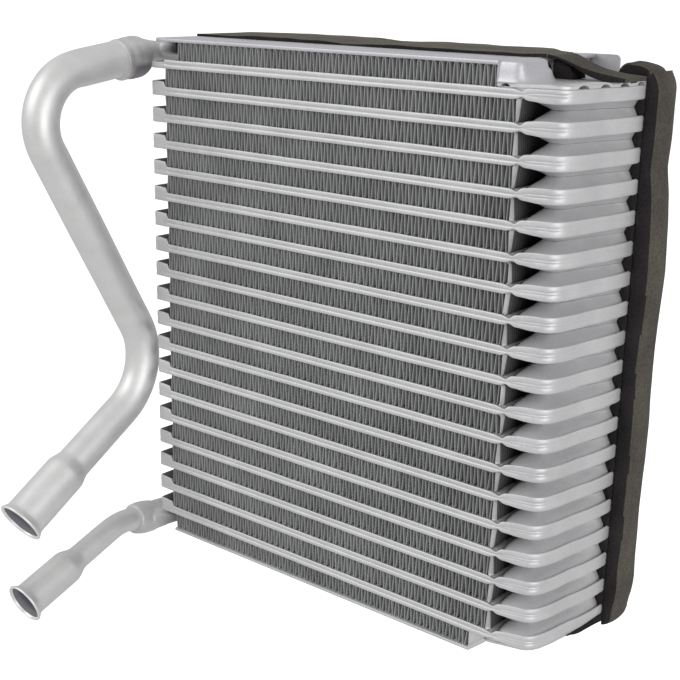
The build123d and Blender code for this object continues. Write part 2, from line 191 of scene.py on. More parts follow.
def metal(name, base, rough, metallic=0.8, mottle=0.10, mottle_scale=55.0,
          grain=0.06, grain_scale=1500.0, bump=0.25, bump_scale=900.0,
          dull=0.0, tint=(1.0, 1.0, 1.0)):
    mat = bpy.data.materials.new(name)
    nt, bsdf = nodes_of(mat)
    n, l = nt.nodes, nt.links
    co = n.new("ShaderNodeTexCoord")
    big = n.new("ShaderNodeTexNoise")
    big.inputs["Scale"].default_value = mottle_scale
    big.inputs["Detail"].default_value = 4.0
    big.inputs["Roughness"].default_value = 0.55
    fine = n.new("ShaderNodeTexNoise")
    fine.inputs["Scale"].default_value = grain_scale
    fine.inputs["Detail"].default_value = 2.0
    l.new(co.outputs["Object"], big.inputs["Vector"])
    l.new(co.outputs["Object"], fine.inputs["Vector"])
    ramp = n.new("ShaderNodeValToRGB")
    lo = [max(0.0, c * (1 - mottle)) for c in base]
    hi = [min(1.0, c * (1 + mottle) * t) for c, t in zip(base, tint)]
    ramp.color_ramp.elements[0].position = 0.30
    ramp.color_ramp.elements[0].color = (*lo, 1)
    ramp.color_ramp.elements[1].position = 0.70
    ramp.color_ramp.elements[1].color = (*hi, 1)
    l.new(big.outputs["Fac"], ramp.inputs["Fac"])
    gmap = n.new("ShaderNodeMapRange")
    gmap.inputs["From Min"].default_value = 0.3
    gmap.inputs["From Max"].default_value = 0.7
    gmap.inputs["To Min"].default_value = 1.0 - grain
    gmap.inputs["To Max"].default_value = 1.0 + grain
    l.new(fine.outputs["Fac"], gmap.inputs["Value"])
    mul = n.new("ShaderNodeMixRGB")
    mul.blend_type = "MULTIPLY"
    mul.inputs["Fac"].default_value = 1.0
    l.new(ramp.outputs["Color"], mul.inputs["Color1"])
    comb = n.new("ShaderNodeCombineColor")
    for c in ("Red", "Green", "Blue"):
        l.new(gmap.outputs["Result"], comb.inputs[c])
    l.new(comb.outputs["Color"], mul.inputs["Color2"])
    l.new(mul.outputs["Color"], bsdf.inputs["Base Color"])
    rmap = n.new("ShaderNodeMapRange")
    rmap.inputs["From Min"].default_value = 0.3
    rmap.inputs["From Max"].default_value = 0.7
    rmap.inputs["To Min"].default_value = rough - 0.06
    rmap.inputs["To Max"].default_value = rough + 0.08
    l.new(big.outputs["Fac"], rmap.inputs["Value"])
    l.new(rmap.outputs["Result"], bsdf.inputs["Roughness"])
    bsdf.inputs["Metallic"].default_value = metallic
    bn = n.new("ShaderNodeTexNoise")
    bn.inputs["Scale"].default_value = bump_scale
    bn.inputs["Detail"].default_value = 3.0
    l.new(co.outputs["Object"], bn.inputs["Vector"])
    bp = n.new("ShaderNodeBump")
    bp.inputs["Strength"].default_value = bump
    bp.inputs["Distance"].default_value = 0.0002
    l.new(bn.outputs["Fac"], bp.inputs["Height"])
    l.new(bp.outputs["Normal"], bsdf.inputs["Normal"])
    return mat


def foam_material(name, lo, hi):
    mat = bpy.data.materials.new(name)
    nt, bsdf = nodes_of(mat)
    n, l = nt.nodes, nt.links
    co = n.new("ShaderNodeTexCoord")
    big = n.new("ShaderNodeTexNoise")
    big.inputs["Scale"].default_value = 60.0
    big.inputs["Detail"].default_value = 5.0
    pores = n.new("ShaderNodeTexVoronoi")
    pores.inputs["Scale"].default_value = 900.0
    l.new(co.outputs["Object"], big.inputs["Vector"])
    l.new(co.outputs["Object"], pores.inputs["Vector"])
    ramp = n.new("ShaderNodeValToRGB")
    ramp.color_ramp.elements[0].position = 0.28
    ramp.color_ramp.elements[0].color = (*lo, 1)
    ramp.color_ramp.elements[1].position = 0.72
    ramp.color_ramp.elements[1].color = (*hi, 1)
    l.new(big.outputs["Fac"], ramp.inputs["Fac"])
    pm = n.new("ShaderNodeMapRange")
    pm.inputs["From Min"].default_value = 0.0
    pm.inputs["From Max"].default_value = 0.6
    pm.inputs["To Min"].default_value = 0.62
    pm.inputs["To Max"].default_value = 1.15
    l.new(pores.outputs["Distance"], pm.inputs["Value"])
    comb = n.new("ShaderNodeCombineColor")
    for c in ("Red", "Green", "Blue"):
        l.new(pm.outputs["Result"], comb.inputs[c])
    mul = n.new("ShaderNodeMixRGB")
    mul.blend_type = "MULTIPLY"
    mul.inputs["Fac"].default_value = 1.0
    l.new(ramp.outputs["Color"], mul.inputs["Color1"])
    l.new(comb.outputs["Color"], mul.inputs["Color2"])
    l.new(mul.outputs["Color"], bsdf.inputs["Base Color"])
    bsdf.inputs["Roughness"].default_value = 0.85
    bsdf.inputs["Specular IOR Level"].default_value = 0.25
    bp = n.new("ShaderNodeBump")
    bp.inputs["Strength"].default_value = 0.7
    bp.inputs["Distance"].default_value = 0.0004
    l.new(pores.outputs["Distance"], bp.inputs["Height"])
    l.new(bp.outputs["Normal"], bsdf.inputs["Normal"])
    return mat


TUBE = metal("brazed_tube", (0.655, 0.655, 0.665), 0.46, metallic=0.5,
             mottle=0.06, mottle_scale=70.0, grain=0.04, grain_scale=1300.0,
             bump=0.2, bump_scale=700.0)
FIN = metal("fin_sheet", (0.475, 0.48, 0.48), 0.5, metallic=0.3, mottle=0.10,
            mottle_scale=35.0, grain=0.05, grain_scale=1800.0, bump=0.2,
            bump_scale=1200.0)
PLATE = metal("brazed_plate", (0.61, 0.605, 0.635), 0.44, metallic=0.55,
              mottle=0.06, mottle_scale=40.0, grain=0.05, grain_scale=1200.0,
              bump=0.25, bump_scale=600.0)
def louvre_shade_material():
    """Painted shade for the faces at the right end of each fin row: dark slit stripes like
    louvres, darker still towards the rear of the core.
    """
    mat = bpy.data.materials.new("fin_louvres_painted_shade")
    nt, bsdf = nodes_of(mat)
    n, l = nt.nodes, nt.links
    co = n.new("ShaderNodeTexCoord")
    sep = n.new("ShaderNodeSeparateXYZ")
    l.new(co.outputs["Object"], sep.inputs["Vector"])
    wave = n.new("ShaderNodeTexWave")
    wave.bands_direction = "Y"
    wave.inputs["Scale"].default_value = 250.0
    wave.inputs["Distortion"].default_value = 1.5
    wave.inputs["Detail"].default_value = 1.0
    l.new(co.outputs["Object"], wave.inputs["Vector"])
    # painted shade: the colour falls off towards the rear of the core
    depth_shade = n.new("ShaderNodeMapRange")
    depth_shade.inputs["From Min"].default_value = -0.0315
    depth_shade.inputs["From Max"].default_value = -0.0215
    depth_shade.inputs["To Min"].default_value = 1.0
    depth_shade.inputs["To Max"].default_value = 0.12
    l.new(sep.outputs["Y"], depth_shade.inputs["Value"])
    ramp = n.new("ShaderNodeValToRGB")
    ramp.color_ramp.elements[0].position = 0.25
    ramp.color_ramp.elements[0].color = (0.05, 0.05, 0.052, 1)
    ramp.color_ramp.elements[1].position = 0.75
    ramp.color_ramp.elements[1].color = (0.15, 0.15, 0.15, 1)
    l.new(wave.outputs["Fac"], ramp.inputs["Fac"])
    comb = n.new("ShaderNodeCombineColor")
    for c in ("Red", "Green", "Blue"):
        l.new(depth_shade.outputs["Result"], comb.inputs[c])
    mul = n.new("ShaderNodeMixRGB")
    mul.blend_type = "MULTIPLY"
    mul.inputs["Fac"].default_value = 1.0
    l.new(ramp.outputs["Color"], mul.inputs["Color1"])
    l.new(comb.outputs["Color"], mul.inputs["Color2"])
    l.new(mul.outputs["Color"], bsdf.inputs["Base Color"])
    bsdf.inputs["Roughness"].default_value = 0.6
    bsdf.inputs["Metallic"].default_value = 0.2
    bp = n.new("ShaderNodeBump")
    bp.inputs["Strength"].default_value = 0.5
    bp.inputs["Distance"].default_value = 0.0003
    l.new(wave.outputs["Fac"], bp.inputs["Height"])
    l.new(bp.outputs["Normal"], bsdf.inputs["Normal"])
    return mat


LOUVRE_SHADE = louvre_shade_material()
PIPE = metal("pipe_metal", (0.78, 0.78, 0.775), 0.46, metallic=0.6,
             mottle=0.045, mottle_scale=90.0, grain=0.03, grain_scale=2000.0,
             bump=0.12, bump_scale=500.0)
# painted shade: dark metal for the inside of the pipe mouths
BORE_SHADE = metal("pipe_bore_painted_shade", (0.20, 0.195, 0.225), 0.6, metallic=0.1,
             mottle=0.05, mottle_scale=90.0, grain=0.03, grain_scale=2000.0,
             bump=0.12, bump_scale=500.0)
PIPE_L = metal("pipe_metal_liquid", (0.71, 0.71, 0.705), 0.48, metallic=0.6,
               mottle=0.05, mottle_scale=80.0, grain=0.03,
               grain_scale=2000.0, bump=0.12, bump_scale=500.0)
LIP = metal("pipe_lip", (0.90, 0.905, 0.89), 0.38, metallic=0.6,
            mottle=0.03, mottle_scale=90.0, grain=0.02, grain_scale=2000.0,
            bump=0.1, bump_scale=500.0)
# painted shade: dark metal for the inner faces of the trays at the tab ends
TRAY_SHADE = metal("tray_inside_painted_shade", (0.26, 0.26, 0.255), 0.6, metallic=0.2,
             mottle=0.15, mottle_scale=90.0, grain=0.05, grain_scale=1500.0,
             bump=0.12, bump_scale=500.0)
FOAM = foam_material("seal_foam", (0.090, 0.084, 0.067), (0.150, 0.142, 0.113))
# painted shadow: near-black foam for faces that sit in shade, such as front faces,
# undersides and hollows
FOAM_SHADOW = foam_material("seal_foam_painted_shadow", (0.008, 0.007, 0.007),
                         (0.022, 0.019, 0.019))
# painted shade: a darker copy of the foam for faces turned away from the top
FOAM_SHADED = foam_material("seal_foam_painted_shade", (0.060, 0.054, 0.045),
                         (0.100, 0.091, 0.076))


def collar_material(name, base, dark, y0, y1, z0, z1, x0, x1, depth_shade):
    """Brazed joint metal with painted shade: darker under its rear end and near-black where
    it runs into the core.
    """
    mat = metal(name, base, 0.52, metallic=0.45, mottle=0.10,
                mottle_scale=140.0, grain=0.05, grain_scale=1500.0, bump=0.3,
                bump_scale=420.0)
    nt, bsdf = nodes_of(mat)
    n, l = nt.nodes, nt.links
    src = bsdf.inputs["Base Color"].links[0].from_socket
    co = n.new("ShaderNodeTexCoord")
    sep = n.new("ShaderNodeSeparateXYZ")
    l.new(co.outputs["Object"], sep.inputs["Vector"])
    my = n.new("ShaderNodeMapRange")
    my.inputs["From Min"].default_value = y0
    my.inputs["From Max"].default_value = y1
    l.new(sep.outputs["Y"], my.inputs["Value"])
    mz = n.new("ShaderNodeMapRange")
    mz.inputs["From Min"].default_value = z0
    mz.inputs["From Max"].default_value = z1
    l.new(sep.outputs["Z"], mz.inputs["Value"])
    underside_shade_mask = n.new("ShaderNodeMath")
    underside_shade_mask.operation = "MULTIPLY"
    l.new(my.outputs["Result"], underside_shade_mask.inputs[0])
    l.new(mz.outputs["Result"], underside_shade_mask.inputs[1])
    mix = n.new("ShaderNodeMixRGB")
    l.new(underside_shade_mask.outputs["Value"], mix.inputs["Fac"])
    l.new(src, mix.inputs["Color1"])
    mix.inputs["Color2"].default_value = (*dark, 1)
    mx = n.new("ShaderNodeMapRange")
    mx.inputs["From Min"].default_value = x0
    mx.inputs["From Max"].default_value = x1
    l.new(sep.outputs["X"], mx.inputs["Value"])
    mix2 = n.new("ShaderNodeMixRGB")
    l.new(mx.outputs["Result"], mix2.inputs["Fac"])
    l.new(mix.outputs["Color"], mix2.inputs["Color1"])
    mix2.inputs["Color2"].default_value = (*depth_shade, 1)
    l.new(mix2.outputs["Color"], bsdf.inputs["Base Color"])
    return mat


def duct_material():
    """Light at its open end, with painted shade where it runs into the core."""
    mat = metal("duct_metal_painted_shade", (0.62, 0.62, 0.63), 0.5, metallic=0.4,
                mottle=0.08, mottle_scale=90.0, grain=0.04,
                grain_scale=1500.0, bump=0.2, bump_scale=500.0)
    nt, bsdf = nodes_of(mat)
    n, l = nt.nodes, nt.links
    src = bsdf.inputs["Base Color"].links[0].from_socket
    co = n.new("ShaderNodeTexCoord")
    sep = n.new("ShaderNodeSeparateXYZ")
    l.new(co.outputs["Object"], sep.inputs["Vector"])
    mx = n.new("ShaderNodeMapRange")
    mx.inputs["From Min"].default_value = -0.1100
    mx.inputs["From Max"].default_value = -0.1045
    l.new(sep.outputs["X"], mx.inputs["Value"])
    # painted shade: near-black towards the core
    mix = n.new("ShaderNodeMixRGB")
    l.new(mx.outputs["Result"], mix.inputs["Fac"])
    l.new(src, mix.inputs["Color1"])
    mix.inputs["Color2"].default_value = (0.05, 0.05, 0.05, 1)
    l.new(mix.outputs["Color"], bsdf.inputs["Base Color"])
    return mat

# ----------------------------------------------------------------- tube plates
TANK = [(84.0, -33.5), (87.2, -32.5), (89.6, -31.9), (92.0, -31.3),
        (94.6, -30.7), (96.6, -29.7), (98.3, -28.0), (99.7, -25.0),
        (101.2, -19.0), (102.5, -10.0), (104.0, -3.0), (104.9, 3.0),
        (105.4, 9.0), (105.6, 15.0), (105.4, 22.5), (102.5, 28.6),
        (96.5, 32.2), (90.0, 33.4), (84.0, 33.5)]


def plate_path():
    """Plan outline, counter-clockwise from the front left corner."""
    r = 1.5
    xs = np.concatenate([np.arange(X_TAB + r, -94.0, 0.5),
                         np.arange(-94.0, 77.0, 4.5)])
    front = np.c_[xs, np.full(len(xs), -HY)]
    mid = catmull([(77.0, -HY), (80.0, -HY), (82.2, -33.95)] + TANK
                  + [(82.0, HY), (77.0, HY)], 0.85)
    xr = np.arange(73.0, X_TAB + r, -6.0)
    rear = np.c_[xr, np.full(len(xr), HY)]
    ang = np.radians(np.arange(90, 181, 22.5))
    c1 = np.c_[X_TAB + r + r * np.cos(ang), HY - r + r * np.sin(ang)]
    ys = np.arange(HY - 5.0, -HY + 4.0, -6.0)
    left = np.c_[np.full(len(ys), X_TAB), ys]
    ang = np.radians(np.arange(180, 270, 22.5))
    c2 = np.c_[X_TAB + r + r * np.cos(ang), -HY + r + r * np.sin(ang)]
    return np.vstack([front, mid, rear, c1, left, c2])


PATH = plate_path()
NORM = normals_2d(PATH)


def interp(x, pts):
    xs, ys = zip(*pts)
    return np.interp(x, xs, ys)


NOSE = np.linspace(0, 1, 9)


def lip_heights(x, y, kind, rng):
    """Upper and lower lip height at each station."""
    nose_u = [(83.5 + 2.5 * t, 0.9 + 1.6 * math.sqrt(1 - (1 - t) ** 2))
              for t in NOSE]
    nose_l = [(83.5 + 3.0 * t, 0.9 + 1.35 * math.sqrt(1 - (1 - t) ** 2))
              for t in NOSE]
    up = ([(79.6, 1.9), (81.4, 1.5), (82.6, 0.95), (83.4, 0.9)] + nose_u
          + [(89.0, 2.85), (91.0, 2.9)])
    lo = ([(79.6, 1.9), (81.4, 1.5), (82.6, 0.95), (83.4, 0.9)] + nose_l
          + [(90.0, 2.75), (93.0, 2.9)])
    hu, hl = interp(x, up), interp(x, lo)
    if kind != "top":
        tab = 4.35 - 0.25 * np.exp(-((x + 99.0) / 2.0) ** 2) * (y < 0)
        w = smooth01((-97.0 - x) / 1.3)
        hu = hu * (1 - w) + tab * w
        hl = hl + 0.1 * w
    else:
        w = smooth01((-97.0 - x) / 1.3)
        hu = hu * (1 - w) + 0.8 * w
    s = np.cumsum(np.r_[0, np.linalg.norm(np.diff(PATH, axis=0), axis=1)])
    hu = hu + noise_line(rng, s, 9.0, 0.035)
    hl = hl + noise_line(rng, s, 9.0, 0.035)
    if kind == "top":
        w = smooth01((x - 72.0) / 1.5)
        hu = np.minimum(hu, 2.26 * w + hu * (1 - w))
    return hu, hl, s


def lip_ring(kind, rng):
    x, y = PATH[:, 0], PATH[:, 1]
    hu, hl, s = lip_heights(x, y, kind, rng)
    tank = smooth01((x - 82.8) / 5.0)
    gw = 0.42 * (1 - tank) + 0.34 * tank
    gd = 0.42 * (1 - tank) + 0.32 * tank
    tab = smooth01((-96.0 - x) / 1.5)
    gd = gd * (1 - 0.75 * tab)
    side = 1.0 - 0.72 * smooth01((x - 95.5) / 4.0)
    wob = noise_line(rng, s, 8.0, 0.022)
    sec = []
    for h, sg in ((hl, -1.0), (hu, 1.0)):
        gg = np.minimum(gw, 0.4 * h)
        e1 = np.minimum(0.12, 0.12 * h)
        e2 = np.minimum(0.38, 0.30 * h)
        g1 = (gd * 0.62) * (1 - tank) + 0.32 * tank * side
        z1 = (gg * 0.42) * (1 - tank) + 0.50 * tank
        g2 = gd * (1 - tank) + 0.09 * tank * side
        z2 = 0.05 * (1 - tank) + 0.20 * tank
        gg = gg * (1 - tank) + 0.74 * tank
        col = [(0.42, h), (0.17, h - e1), (0.04, h - e2), (0.0, 0.52 * h),
               (0.06, gg), (g1, z1), (g2, z2)]
        col = [(np.broadcast_to(d, h.shape) + wob * (1 if i < 5 else 0),
                sg * np.broadcast_to(z, h.shape)) for i, (d, z)
               in enumerate(col)]
        sec.append(col)
    lower = sec[0]
    upper = sec[1][::-1]
    one = np.ones(len(x))
    inner = [(0.60 * one + wob, hu - 0.05), (0.70 * one + wob, hu - 0.28),
             (0.72 * one, np.minimum(0.56, hu - 0.3) * one), (0.76 * one, 0 * one),
             (0.72 * one, -np.minimum(0.56, hl - 0.3) * one),
             (0.70 * one + wob, -(hl - 0.28)), (0.60 * one + wob, -(hl - 0.05))]
    cols = lower + upper + inner
    rings = np.zeros((len(x), len(cols), 3))
    for j, (d, z) in enumerate(cols):
        rings[:, j, 0] = x + NORM[:, 0] * d
        rings[:, j, 1] = y + NORM[:, 1] * d
        rings[:, j, 2] = z
    return rings


def slab(shell, pts, z0, z1, round_top=0.0):
    p = np.asarray(pts, float)
    n = normals_2d(p)
    rings = []
    if round_top > 0:
        for d, z in ((0.35 * round_top, z0), (0, z0 + 0.4 * round_top),
                     (0, z1 - round_top), (0.3 * round_top, z1 - 0.3 * round_top),
                     (round_top, z1)):
            rings.append(np.c_[p + n * d, np.full(len(p), z)])
    else:
        for z in (z0, z1):
            rings.append(np.c_[p, np.full(len(p), z)])
    shell.loft(rings)


CUP_BASE = [(84.2, 11.5), (83.4, 0.0), (83.2, -18.0), (83.4, -27.0),
            (84.8, -30.9), (88.2, -31.0), (92.0, -30.2), (95.2, -28.9),
            (97.4, -26.6), (98.9, -22.6), (100.1, -17.4), (101.4, -9.6),
            (102.9, -2.8), (103.8, 2.8), (104.3, 8.0), (104.3, 12.0),
            (103.0, 14.6), (98.0, 15.2), (91.0, 15.2), (85.6, 14.6)]
CUP_TOP = [(86.6, 11.6), (86.2, 2.0), (86.2, -8.0), (86.3, -16.0),
           (86.8, -20.0), (87.9, -21.3), (89.8, -21.6), (91.9, -21.2),
           (93.3, -19.9), (94.2, -17.6), (95.1, -14.0), (96.4, -8.0),
           (97.9, -2.8), (99.4, 2.0), (100.9, 6.6), (102.2, 11.0),
           (101.6, 13.6), (97.6, 14.3), (92.0, 14.3), (88.0, 13.8)]


def ring_through(pts, n=72):
    p = np.asarray(pts, float)
    q = catmull(np.vstack([p[-2:], p, p[:3]]), 0.5)
    # keep one turn, from the first point back to it
    d = np.linalg.norm(np.diff(q, axis=0), axis=1)
    s = np.r_[0, np.cumsum(d)]
    i0 = int(np.argmin(np.linalg.norm(q[:len(q) // 3] - p[0], axis=1)))
    tail = q[len(q) // 2:]
    i1 = len(q) // 2 + int(np.argmin(np.linalg.norm(tail - p[0], axis=1)))
    t = np.linspace(s[i0], s[i1], n + 1)[:-1]
    return np.c_[np.interp(t, s, q[:, 0]), np.interp(t, s, q[:, 1])]


def ring_matched(pts, per=4):
    """Closed smooth ring with the same count between points, so that two
    rings built this way pair up."""
    p = np.asarray(pts, float)
    n = len(p)
    out = []
    for i in range(n):
        p0, p1, p2, p3 = p[i - 1], p[i], p[(i + 1) % n], p[(i + 2) % n]
        for j in range(per):
            t = j / per
            out.append(0.5 * ((2 * p1) + (p2 - p0) * t
                              + (2 * p0 - 5 * p1 + 4 * p2 - p3) * t * t
                              + (3 * p1 - p0 - 3 * p2 + p3) * t ** 3))
    return np.array(out)


BASE_R = ring_matched(CUP_BASE)
TOP_R = ring_matched(CUP_TOP)
REAR_BASE = ring_through([(88.0, 20.4), (96.0, 20.0), (102.6, 20.2),
                          (103.4, 23.0), (100.6, 27.4), (95.0, 29.4),
                          (89.0, 29.6), (87.2, 25.0)], 40)


def cup(shell, sign):
    """Drawn cup of one plate: a sloping wall that ends in a flat land."""
    prof = [(0.0, 0.25), (0.02, 0.9), (0.08, 1.6), (0.20, 2.35), (0.38, 3.15),
            (0.58, 3.95), (0.76, 4.65), (0.89, 5.2), (0.96, 5.52), (1.0, 5.74)]
    rings = []
    for t, z in prof:
        xy = BASE_R * (1 - t) + TOP_R * t
        rings.append(np.c_[xy, np.full(len(xy), sign * z)])
    shell.loft(rings)
    c = REAR_BASE.mean(0)
    rings = []
    for t, z in ((0.0, 0.25), (0.02, 1.4), (0.12, 3.6), (0.22, 5.2),
                 (0.30, 5.74)):
        xy = REAR_BASE * (1 - t) + c * t
        rings.append(np.c_[xy, np.full(len(xy), sign * z)])
    shell.loft(rings)


FLANGE = PATH + NORM * 0.45
body_pts = []
for cx, cy, a0 in ((-98.2, -31.6, 180), (82.0, -31.4, 270), (82.0, 31.4, 0),
                   (-98.2, 31.6, 90)):
    for a in (0, 30, 60, 90):
        body_pts.append((cx + 0.9 * math.cos(math.radians(a0 + a)),
                         cy + 0.9 * math.sin(math.radians(a0 + a))))

for k in range(1, 20):
    rng = np.random.default_rng(700 + k)
    kind = "top" if k == 1 else "mid"
    sh = Shell()
    sh.torus(lip_ring(kind, rng))
    slab(sh, FLANGE, -0.5, 0.5)
    slab(sh, body_pts, -1.5, 1.5)
    if k > 1:
        cup(sh, 1.0)
    else:
        raised = [(72.8, -33.2), (83.6, -33.0), (91.8, -30.6),
                  (96.0, -29.1), (97.6, -27.6), (99.0, -24.6), (100.5, -18.9),
                  (103.3, -2.8), (104.7, 9.0), (104.9, 15.0), (104.7, 22.2),
                  (102.0, 28.0), (96.0, 31.4), (72.8, 33.0)]
        slab(sh, raised, 0.2, 2.28)
    if k < 19:
        cup(sh, -1.0)
    else:
        raised = [(80.4, -33.2), (83.6, -33.0), (91.8, -30.6),
                  (96.0, -29.1), (97.6, -27.6), (99.0, -24.6), (100.5, -18.9),
                  (103.3, -2.8), (104.7, 9.0), (104.9, 15.0), (104.7, 22.2),
                  (102.0, 28.0), (96.0, 31.4), (80.4, 33.0)]
        slab(sh, raised, -2.28, -0.2)
    for v in sh.v:
        v[:, 2] += tube_z(k)
    ob = make(f"tube_{k:02d}", sh, [f"tube_plates_{k:02d}"],
              TUBE, sharp=42)
    # painted shade: inner faces of the tab-end tray take the dark tray metal
    ob.data.materials.append(TRAY_SHADE)
    for p in ob.data.polygons:
        c, n = p.center, p.normal
        if (c.x < -0.0968 and c.z > (tube_z(k) + 0.4) * 0.001
                and abs(c.y) < 0.0340
                and (n.x > 0.4 or (n.y > 0.4 and c.y < 0)
                     or (n.y < -0.4 and c.y > 0)
                     or (n.z > 0.7 and abs(c.y) < 0.0325))):
            p.material_index = 1

# ------------------------------------------------------------------------ fins
LEG = 1.62


def fin_row(shell, rng, x0, x1, y0, y1, z0, z1, side, bulge=0.0, dent=None,
            end_strip=True, front=True):
    """A folded ribbon, run along X, with crests that round over."""
    t = 0.145
    zc0, zc1 = z0 + t / 2, z1 - t / 2
    n = int((x1 - x0) / LEG)
    leg = (x1 - x0 - 0.3) / n
    xc = x0 + 0.15 + leg * np.arange(n + 1)
    xc = xc + np.clip(rng.normal(0, 0.05, n + 1), -0.12, 0.12)
    ys = np.array([y0, y0 + 0.35, y0 + 1.0, y0 + 1.9, y0 + 12.0, y1])
    if not front:
        ys = np.array([y0, y0 + 6.0, y1])
    m = len(ys)
    lean = np.clip(rng.normal(0, 0.16, n + 1), -0.3, 0.3)
    slow = noise_line(rng, xc, 22.0, 0.10)
    cen = []
    # points of one crest: rise, shoulder, top, shoulder, fall
    for i in range(n + 1):
        top = (i % 2 == 0) == bool(side)
        zt, zb = (zc1, zc0) if top else (zc0, zc1)
        d = 1.0 if top else -1.0
        for q, (dx, dz) in enumerate(((-0.60, -1.00), (-0.50, -0.32),
                                      (-0.20, 0.0), (0.20, 0.0),
                                      (0.50, -0.32), (0.60, -1.00))):
            if i == 0 and q < 3 or i == n and q > 2:
                continue
            cen.append((xc[i] + dx, zt + d * dz, i))
    cen = np.array(cen)
    px, pz, idx = cen[:, 0], cen[:, 1], cen[:, 2].astype(int)
    mid = 1.0 - np.abs((pz - (zc0 + zc1) / 2) / ((zc1 - zc0) / 2))
    rings = []
    for j in range(m):
        f = (1.0, 0.75, 0.3, 0.08, 0.0, 0.0)[j] if front else 0.0
        shift = (lean[idx] + slow[idx]) * f * (0.35 + 0.65 * mid)
        x = px + shift
        z = pz.copy()
        if dent is not None and front:
            dx0, zz, rad, amt = dent
            w = np.exp(-(((px - dx0) / rad) ** 2 + ((pz - zz) / (rad * 0.8)) ** 2))
            x = x + amt * w * f
        if bulge > 0 and front:
            w = smooth01((px - (x1 - 3.6)) / 3.4)
            g = (1.0, 1.0, 0.9, 0.7, 0.35, 0.0)[j]
            zz = (pz - zc0) / (zc1 - zc0)
            x = x + bulge * w * g * (np.sin(math.pi * zz) + 0.35
                                     * np.sin(3.1 * math.pi * zz))
        if end_strip and front:
            # the last leg leans a little and its front margin is bent open
            w = smooth01((px - (xc[n] - leg * 0.62)) / 0.12)
            zz = (pz - zc0) / (zc1 - zc0)
            x = x + w * (0.55 * zz - 0.15)
            x = x - 0.9 * w * (1.0, 0.82, 0.45, 0.0, 0.0, 0.0)[j]
        c = np.c_[x, z]
        a = np.vstack([c[1] - c[0], np.diff(c, axis=0)])
        b = np.vstack([np.diff(c, axis=0), c[-1] - c[-2]])
        a /= np.linalg.norm(a, axis=1)[:, None]
        b /= np.linalg.norm(b, axis=1)[:, None]
        na, nb = np.c_[-a[:, 1], a[:, 0]], np.c_[-b[:, 1], b[:, 0]]
        nn = na + nb
        nn /= np.linalg.norm(nn, axis=1)[:, None]
        s = (t / 2) / np.maximum(0.7, (nn * na).sum(1))
        y = np.full(len(c), ys[j])
        if front and j == 0:
            y = y + np.abs(lean[idx]) * 0.5 * mid
        lft = np.c_[(c + nn * s[:, None]), y]
        rgt = np.c_[(c - nn * s[:, None]), y]
        ring = np.vstack([lft, rgt[::-1]])[:, [0, 2, 1]]
        rings.append(ring)
    rings = np.array(rings)
    k = rings.shape[1]
    h = k // 2
    faces = []
    for j in range(m - 1):
        o = j * k
        for i in range(k):
            i2 = (i + 1) % k
            faces.append((o + i, o + i2, o + k + i2, o + k + i))
    o = (m - 1) * k
    for i in range(h - 1):
        faces.append((i + 1, i, k - 1 - i, k - 2 - i))
        faces.append((o + i, o + i + 1, o + k - 2 - i, o + k - 1 - i))
    shell.add(rings.reshape(-1, 3), faces)


FY = -33.45


def shade_end(ob):
    """Painted shade on the louvred face of the last leg, seen from the tank side, and a
    painted highlight on its front strip.
    """
    me = ob.data
    me.materials.append(LOUVRE_SHADE)
    me.materials.append(TUBE)
    for p in me.polygons:
        if p.center.x < 0.0799 or abs(p.normal.x) < 0.25:
            continue
        # painted shade: behind the front strip, faces turned sideways take the louvre shade
        # material
        if p.center.y > (FY + 1.85) * 0.001:
            if abs(p.normal.x) > 0.7:
                p.material_index = 1
        # painted highlight: the front strip of the last leg takes the lighter tube metal
        elif p.normal.x > 0:
            p.material_index = 2


for k in range(2, 20):
    rng = np.random.default_rng(40 + k)
    za, zb = tube_z(k) + 1.5, tube_z(k - 1) - 1.5
    sh = Shell()
    bulge = {7: 1.7, 11: 1.3, 12: 1.6}.get(k - 0, 0.0)
    dent = (14.1, 213.1, 2.4, 1.1) if k == 2 else None
    fin_row(sh, rng, -98.4, 82.0, FY, 33.2, za, zb, k % 2, bulge=bulge,
            dent=dent)
    # turned-out foot of the ribbon's end, lying on the lower tube
    sh.box(81.2, 83.2, FY + 0.9, 33.0, za + 0.0, za + 0.17)
    shade_end(make(f"fins_{k:02d}", sh, [f"fin_{k:02d}"], FIN,
                   sharp=50))

for part, y0, y1, fr in (("front", FY, -23.9, True), ("rear", -0.5, 33.2, False)):
    rng = np.random.default_rng(90 + fr)
    sh = Shell()
    fin_row(sh, rng, -90.5, 72.6, y0, y1, 220.5, 228.4, 0, front=fr,
            end_strip=False)
    make(f"fins_01_{part}", sh, [f"fin_01_{part}"], FIN, 50)
for part, y0, y1, fr in (("front", FY, -19.9, True), ("rear", -4.5, 33.2, False)):
    rng = np.random.default_rng(94 + fr)
    sh = Shell()
    fin_row(sh, rng, -96.6, 72.2, y0, y1, 1.3, 8.7, 1, front=fr,
            end_strip=False)
    make(f"fins_20_{part}", sh, [f"fin_20_{part}"], FIN, 50)

